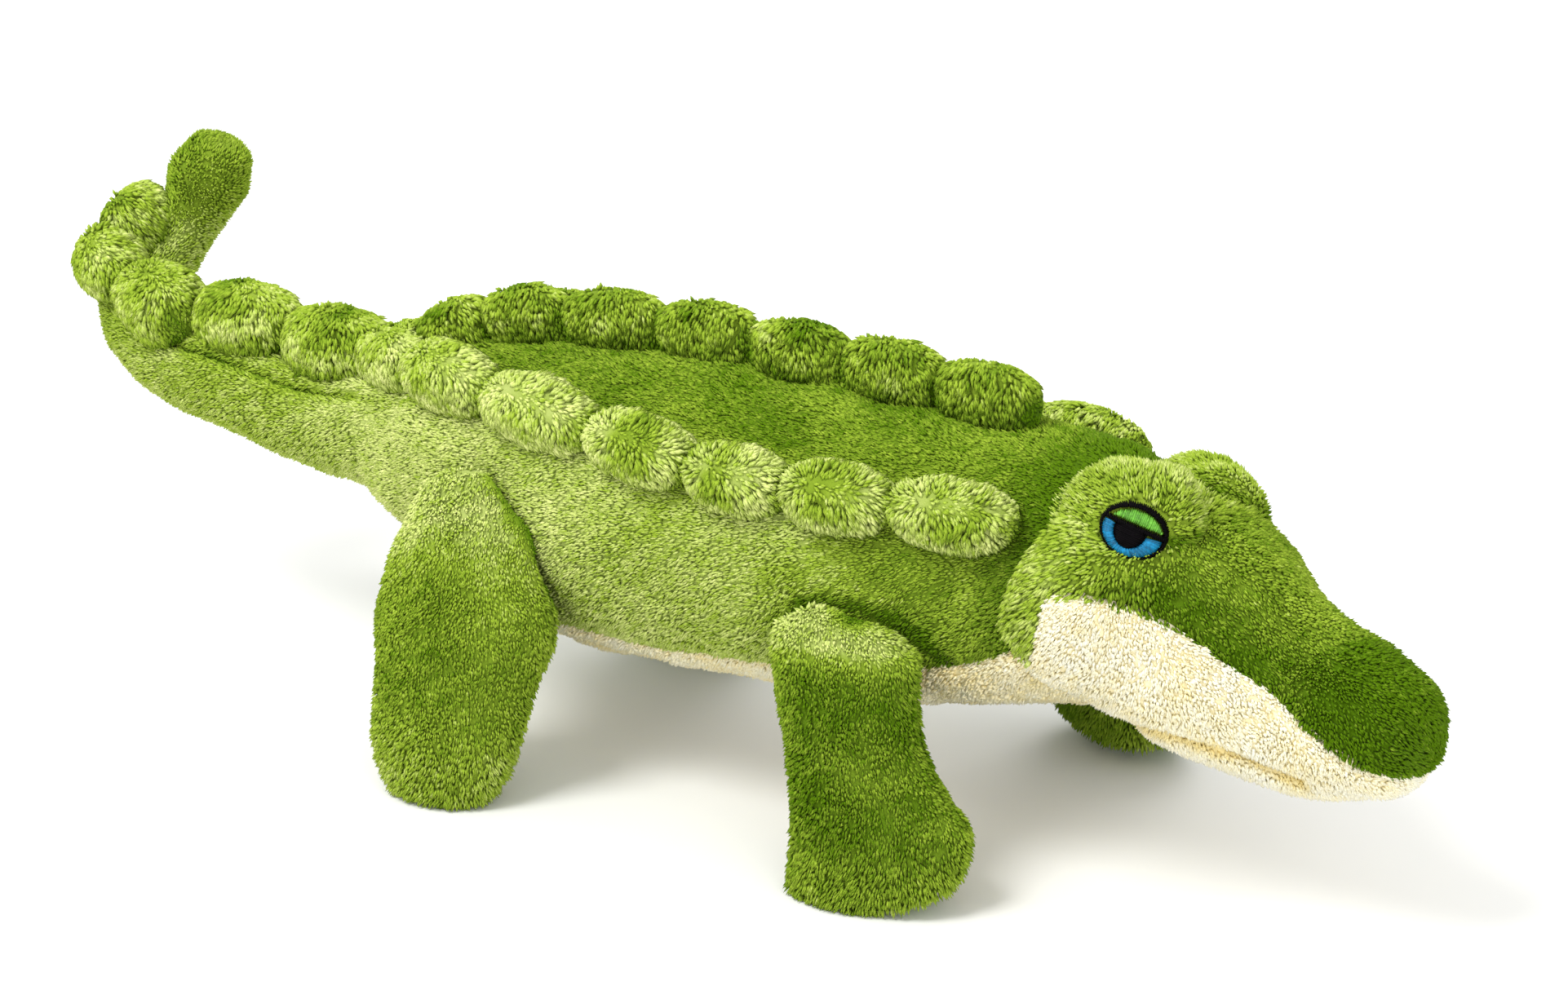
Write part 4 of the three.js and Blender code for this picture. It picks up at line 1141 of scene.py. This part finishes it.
for leg_word, leg in leg_patterns.items():
    hip = np.array((neck[0] - leg["behind_neck"], 0, leg["hip_height"]))

    def in_swept_trunk(points):
        """Inside the trunk as it stands at any angle of the leg's swing."""
        arm = points - hip
        found = np.zeros(points.shape[:-1], bool)
        for turn in np.linspace(-leg_swing, leg_swing, 5):
            x = arm[..., 0] * np.cos(turn) + arm[..., 2] * np.sin(turn)
            z = arm[..., 2] * np.cos(turn) - arm[..., 0] * np.sin(turn)
            found |= inside_trunk(hip + np.stack([x, arm[..., 1], z], axis=-1), flex_gap)
        return found

    left_net, shown_rings = leg_net_of(leg, in_swept_trunk)
    for word, side in (("left", 1), ("right", -1)):
        leg_net = left_net * (1, side, 1)
        if (leg_word, word) == ("front", "left"):
            low = np.clip(1 - leg_net[..., 2] / hip[2], 0, 1)
            heel = (hip[0] + far_heel_start - leg_net[..., 0]) / leg["half_length"]
            heel = np.clip(heel, 0, 1.2)
            leg_net[..., 2] += far_heel_up * low * heel
            leg_net[..., 0] += far_foot_ahead * low
        seed = 60 + 4 * side + (1 if leg_word == "hind" else 0)
        # Near the seam where the leg enters the trunk, only along a hind leg's front edge: the pile
        # is shorter there, and painted shade darkens it
        off_seam = np.linalg.norm(leg_net - leg_net[shown_rings - 1], axis=-1)
        near_seam = fading(off_seam, leg_seam_reach)
        if leg_word == "hind":
            near_seam *= ramp(leg_net[..., 0] - hip[0], -0.0036, 0.0024)

        def leg_tone(points, read=as_is):
            """Dark on the broad faces, lighter at the edges and up at the shoulder or the hip, with
            painted shade in the seam where the leg meets the trunk.
            """
            x = (points[..., 0] - hip[0]) / leg["half_length"]
            height = points[..., 2] / leg["height"]
            edge = ramp(np.abs(x + 0.05), 0.62, 0.97)
            if leg_word == "hind":
                tone = 0.28 + 0.04 * edge + 0.50 * ramp(height, 0.60, 0.90)
                tone += 0.18 * ramp(height, 0.36, 0.16)
            else:
                tone = 0.14 + 0.10 * edge + 0.44 * ramp(height, 0.86, 0.945)
                tone += 0.14 * ramp(height, 0.25, 0.05)
            # Painted shade in the seam where the leg meets the trunk
            tone = tone - 0.65 * read(near_seam)
            return tone + mottled(points, seed, (0.07, 0.025), (0.05, 0.008))

        def leg_nap(roots):
            return np.array((0.1, 0, -0.65)) + 0.8 * roots["out"]

        skin = bag(f"{leg_word}_leg_plush_{word}", leg_net, ends_of(leg_net), leg_tone(leg_net),
                   green_pile)
        body = f"{leg_word}_leg_{word}"
        sewn(skin, body)
        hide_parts(f"{leg_word}_leg_skin_{word}", f"{leg_word}_leg_stuffing_{word}")
        leg_out, _ = normals_of(leg_net)
        furred = leg_out[..., 2] > -0.75
        furred[shown_rings:] = False
        foot_pile = foot_pile_extra * ramp(leg_net[..., 2], 0.022, 0.010)
        coat(f"{leg_word}_leg_pile_{word}", leg_net, furred, leg_nap, leg_tone, body, "dark_pile",
             seed, length=0.0020 * (1 - 0.5 * near_seam) + foot_pile)


# Tail: one run of the same plush on from the trunk, first straight, then curling up and round to
# its round club. A seam runs along it where the scutes are sewn down.
def tail_tone(points):
    """Light where it leaves the trunk, dark up the curl."""
    curl = ramp(points[..., 2], 0.098, 0.108) * (points[..., 0] < -0.14)
    tone = 0.57 - 0.24 * curl + 0.16 * ramp(points[..., 0], -0.12, -0.08)
    return tone + mottled(points, 71, (0.07, 0.03), (0.05, 0.008))


tail_angles = turns_of(120)
ridge_edge, ridge_crease, ridge_crease_depth = np.radians(51), np.radians(5), 0.0022
for name, start, end, rings in (
    ("tail", bending["tail"][1], bending["tail_tip"][1], 90),
    ("tail_tip", bending["tail_tip"][1], last_row + 0.97, 170),
):
    rows = np.linspace(start, end, rings)[:, None]
    net = body_form(rows, tail_angles)
    out, _ = normals_of(net)
    dent = fading(np.abs(tail_angles - np.pi / 2) - ridge_edge, ridge_crease)
    dent = dent * ramp(rows, 8.6, 9.6) * ramp(rows, 13.5, 12.5)
    net = net - out * (ridge_crease_depth * dent)[..., None]

    # Painted shade in the crease where the scutes are sewn down
    def crease_shaded_tone(points, read=as_is):
        return tail_tone(points) - 0.5 * read(dent)

    first, last = ends_of(net)
    if name == "tail_tip":
        last = body_form(last_row + 1.0, 0.0)
    skin = bag(f"{name}_plush", net, [first, last], crease_shaded_tone(net), green_pile)
    sewn(skin, name)
    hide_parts(f"{name}_skin", f"{name}_stuffing")
    coat(f"{name}_pile", net, np.ones(net.shape[:2]), swept_back, crease_shaded_tone, name, "green_pile",
         75 + rings)

# Scutes: three rows of stuffed tube in a longer pile, pinched into round lobes and sewn down
# along the spine and both flanks. The spine's row runs on over the tail.
spine_radius, tail_scute_radius, flank_radius = 0.0094, 0.0112, 0.0101
spine_lift, tail_lift, flank_lift, scute_seat, long_depth = 0.0050, 0.0030, 0.0025, 0.0015, 0.0024
# How square a lobe is, and how far from its middle it is drawn in to nothing, in lobes
lobe_sharpness, lobe_end = 2.4, 0.53
# Lobes: body row of the centre, degrees up round the body from its right side, radius share
spine_lobes = [
    (2.35, 90, 1.0), (3.22, 90, 1.0), (4.05, 90, 1.0), (4.86, 90, 1.0), (5.84, 90, 1.0),
    (6.95, 90, 0.97), (8.25, 90, 1.12),
]
tail_lobes = [(9.88, 90, 1.04), (11.02, 90, 1.01)]
tail_tip_lobes = [(12.1, 68, 1.04), (14.2, 46, 0.94), (15.35, 26, 0.96)]
flank_lobes = [
    (2.05, 37, 1.0), (3.03, 36, 1.0), (3.86, 35, 1.0), (4.70, 38, 1.0), (5.86, 43, 1.0),
    (7.25, 51, 1.04), (9.0, 74, 0.92),
]
far_flank_lobes = flank_lobes.copy()
far_flank_lobes[0], far_flank_lobes[5] = (2.0, 37, 0.98), (7.0, 58, 1.12)
all_sections = body_section(np.linspace(0, last_row, 260))


def inside_body(points, grow):
    """Whether places lie inside the trunk or the tail, by the nearest section."""
    flat = points.reshape(-1, 3)
    centres = all_sections[0]
    near = (np.sum(centres**2, axis=1) - 2 * flat @ centres.T).argmin(axis=1)
    centre, _, up, across, girth = (part[near] for part in all_sections)
    arm = flat - centre
    over, rise = np.sum(arm * across, axis=1), np.sum(arm * up, axis=1)
    return within(over, rise, *girth.T, grow).reshape(points.shape[:-1])


def scute_net(lobes, radius, lift, narrow):
    """Rings of a pinched tube along the body, with each ring's outward direction, its place in
    its lobe, from -0.5 to 0.5, and the number of that lobe."""
    lobe_rings, sides, least_girth = 27, 56, 0.0003
    row, degrees, share = np.array(lobes).T
    centre, _, up, across, girth = body_section(row)
    angle = np.radians(degrees)
    out = (up * (np.sin(angle) * (girth[:, 1] + lift))[:, None]
           - across * (np.cos(angle) * (girth[:, 0] + lift))[:, None])
    middles, outs = centre + out, unit(out)
    last = len(lobes) - 1
    evenly = np.sin(np.linspace(-1, 1, lobe_rings) * np.pi / 2) * 0.5
    at, phase, lobe = [], [], []
    for k in range(last + 1):
        own = evenly[:-1] if k < last else evenly
        own = np.where((k == 0) & (own < 0) | (k == last) & (own > 0), own * lobe_end * 2, own)
        own = np.clip(own, -lobe_end * 0.995, lobe_end * 0.995)
        at.append(k + own)
        phase.append(own)
        lobe.append(np.full(len(own), k))
    at, phase, lobe = (np.concatenate(part) for part in (at, phase, lobe))
    inside = np.clip(at, 0, last)
    along = heading(middles, inside, 0, last)
    spacing = np.linalg.norm(np.diff(smooth_line(middles, 200), axis=0), axis=1).sum() / last
    ring_centre = spline(middles, inside) + along * ((at - inside) * spacing)[:, None]
    rise = spline(outs, inside)
    rise = unit(rise - along * np.sum(rise * along, axis=1, keepdims=True))
    over = np.cross(along, rise)
    swell = np.maximum(1 - (np.abs(phase) / lobe_end) ** lobe_sharpness, 0) ** (1 / 2.2)
    girth = radius * np.interp(at, np.arange(last + 1), share) * swell
    girth = np.maximum(girth - long_depth * np.minimum(swell * 1.2, 1), least_girth)
    deep = np.maximum(girth, (lift + scute_seat) * np.minimum(swell * 3, 1))
    turns = turns_of(sides)
    tall = np.where(np.sin(turns) > 0, girth[:, None], deep[:, None]) * np.sin(turns)
    wide = narrow * girth[:, None] * np.cos(turns)
    net = ring_centre[:, None] + over[:, None] * wide[..., None] + rise[:, None] * tall[..., None]
    return net, rise, phase, lobe


for name, lobes, radius, lift, narrow, side, body, fair, seed in (
    ("spine_ridge", spine_lobes, spine_radius, spine_lift, 0.82, 1, "torso", 0.45, 81),
    ("tail_ridge", tail_lobes, tail_scute_radius, tail_lift, 1.14, 1, "tail", 0.60, 82),
    ("tail_tip_ridge", tail_tip_lobes, tail_scute_radius, tail_lift, 1.05, 1, "tail_tip", 0.60, 83),
    ("flank_ridge_right", flank_lobes, flank_radius, flank_lift, 0.92, 1, "torso", 0.78, 84),
    ("flank_ridge_left", far_flank_lobes, flank_radius, flank_lift, 0.92, -1, "torso", 0.60, 85),
):
    net, rise, phase, lobe = scute_net(lobes, radius, lift, narrow)
    net, seated = lifted(net, np.broadcast_to(rise[:, None], net.shape),
                         lambda points: inside_body(points, -pile_depth + 0.0001))
    net, rise = net * (1, side, 1), rise * (1, side, 1)
    drawn = np.random.default_rng(seed)
    patch_depth = drawn.uniform(0.1, 0.4, len(lobes))[lobe]
    patch_shift = drawn.uniform(-0.1, 0.2, len(lobes))[lobe]
    outward = np.broadcast_to(rise[:, None], net.shape)
    normal, _ = normals_of(net)
    facing = np.sum(normal * outward, axis=-1)
    spot = ramp(facing, 0.35, 0.80) * fading(phase - patch_shift, 0.24)[:, None]
    # Painted shade in the pinches between lobes and on the undersides
    pinch = ramp(np.abs(phase), 0.36, 0.50)[:, None]
    underside_shade = ramp(facing, 0.1, -0.9)
    field = fair - patch_depth[:, None] * spot - 0.4 * pinch - 0.5 * underside_shade

    def scute_tone(points, read=as_is):
        """Each lobe has a darker patch on top, and painted shade where it is pinched and below."""
        return read(field) + mottled(points, seed, (0.1, 0.008))

    def scute_nap(roots):
        """Brushed apart from the top of the row, down both sides of it."""
        pole = unit(roots["read"](outward))
        away = roots["out"] * np.sum(pole * roots["out"], axis=-1, keepdims=True) - pole
        away /= np.maximum(np.linalg.norm(away, axis=-1, keepdims=True), 0.25)
        parted = 1 - np.linalg.norm(away, axis=-1, keepdims=True)
        return away + 0.22 * roots["out"] - (0.1 + parted) * roots["along"]

    skin = bag(f"{name}_plush", net, ends_of(net), scute_tone(net), green_pile)
    sewn(skin, body)
    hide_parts(name, f"{name}_stuffing")
    long_pile = 0.0038 * (1 - 0.5 * pinch) * (1 - 0.4 * ramp(facing, 0.90, 0.98))
    coat(f"{name}_pile", net, ~seated, scute_nap, scute_tone, body, "long_pile", seed,
         spacing=0.00068, length=long_pile, width=0.00112, bend=0.12, tousle=0.22)

# Floor: a plain pale board, wide enough to fill every view. The toy stands on it by its own
# weight and nothing fastens it.
floor_reach = 6.0
floor_corners = [(x * floor_reach, y * floor_reach, 0)
                 for x, y in ((-1, -1), (1, -1), (1, 1), (-1, 1))]
floor_mesh = bpy.data.meshes.new("floor")
floor_mesh.from_pydata(floor_corners, [], [(0, 1, 2, 3)])
board = Finish("pale_board", Roughness=0.7, Base_Color=(0.82, 0.82, 0.80, 1.0))
floor_mesh.materials.append(board.material)
floor = placed("floor", floor_mesh)
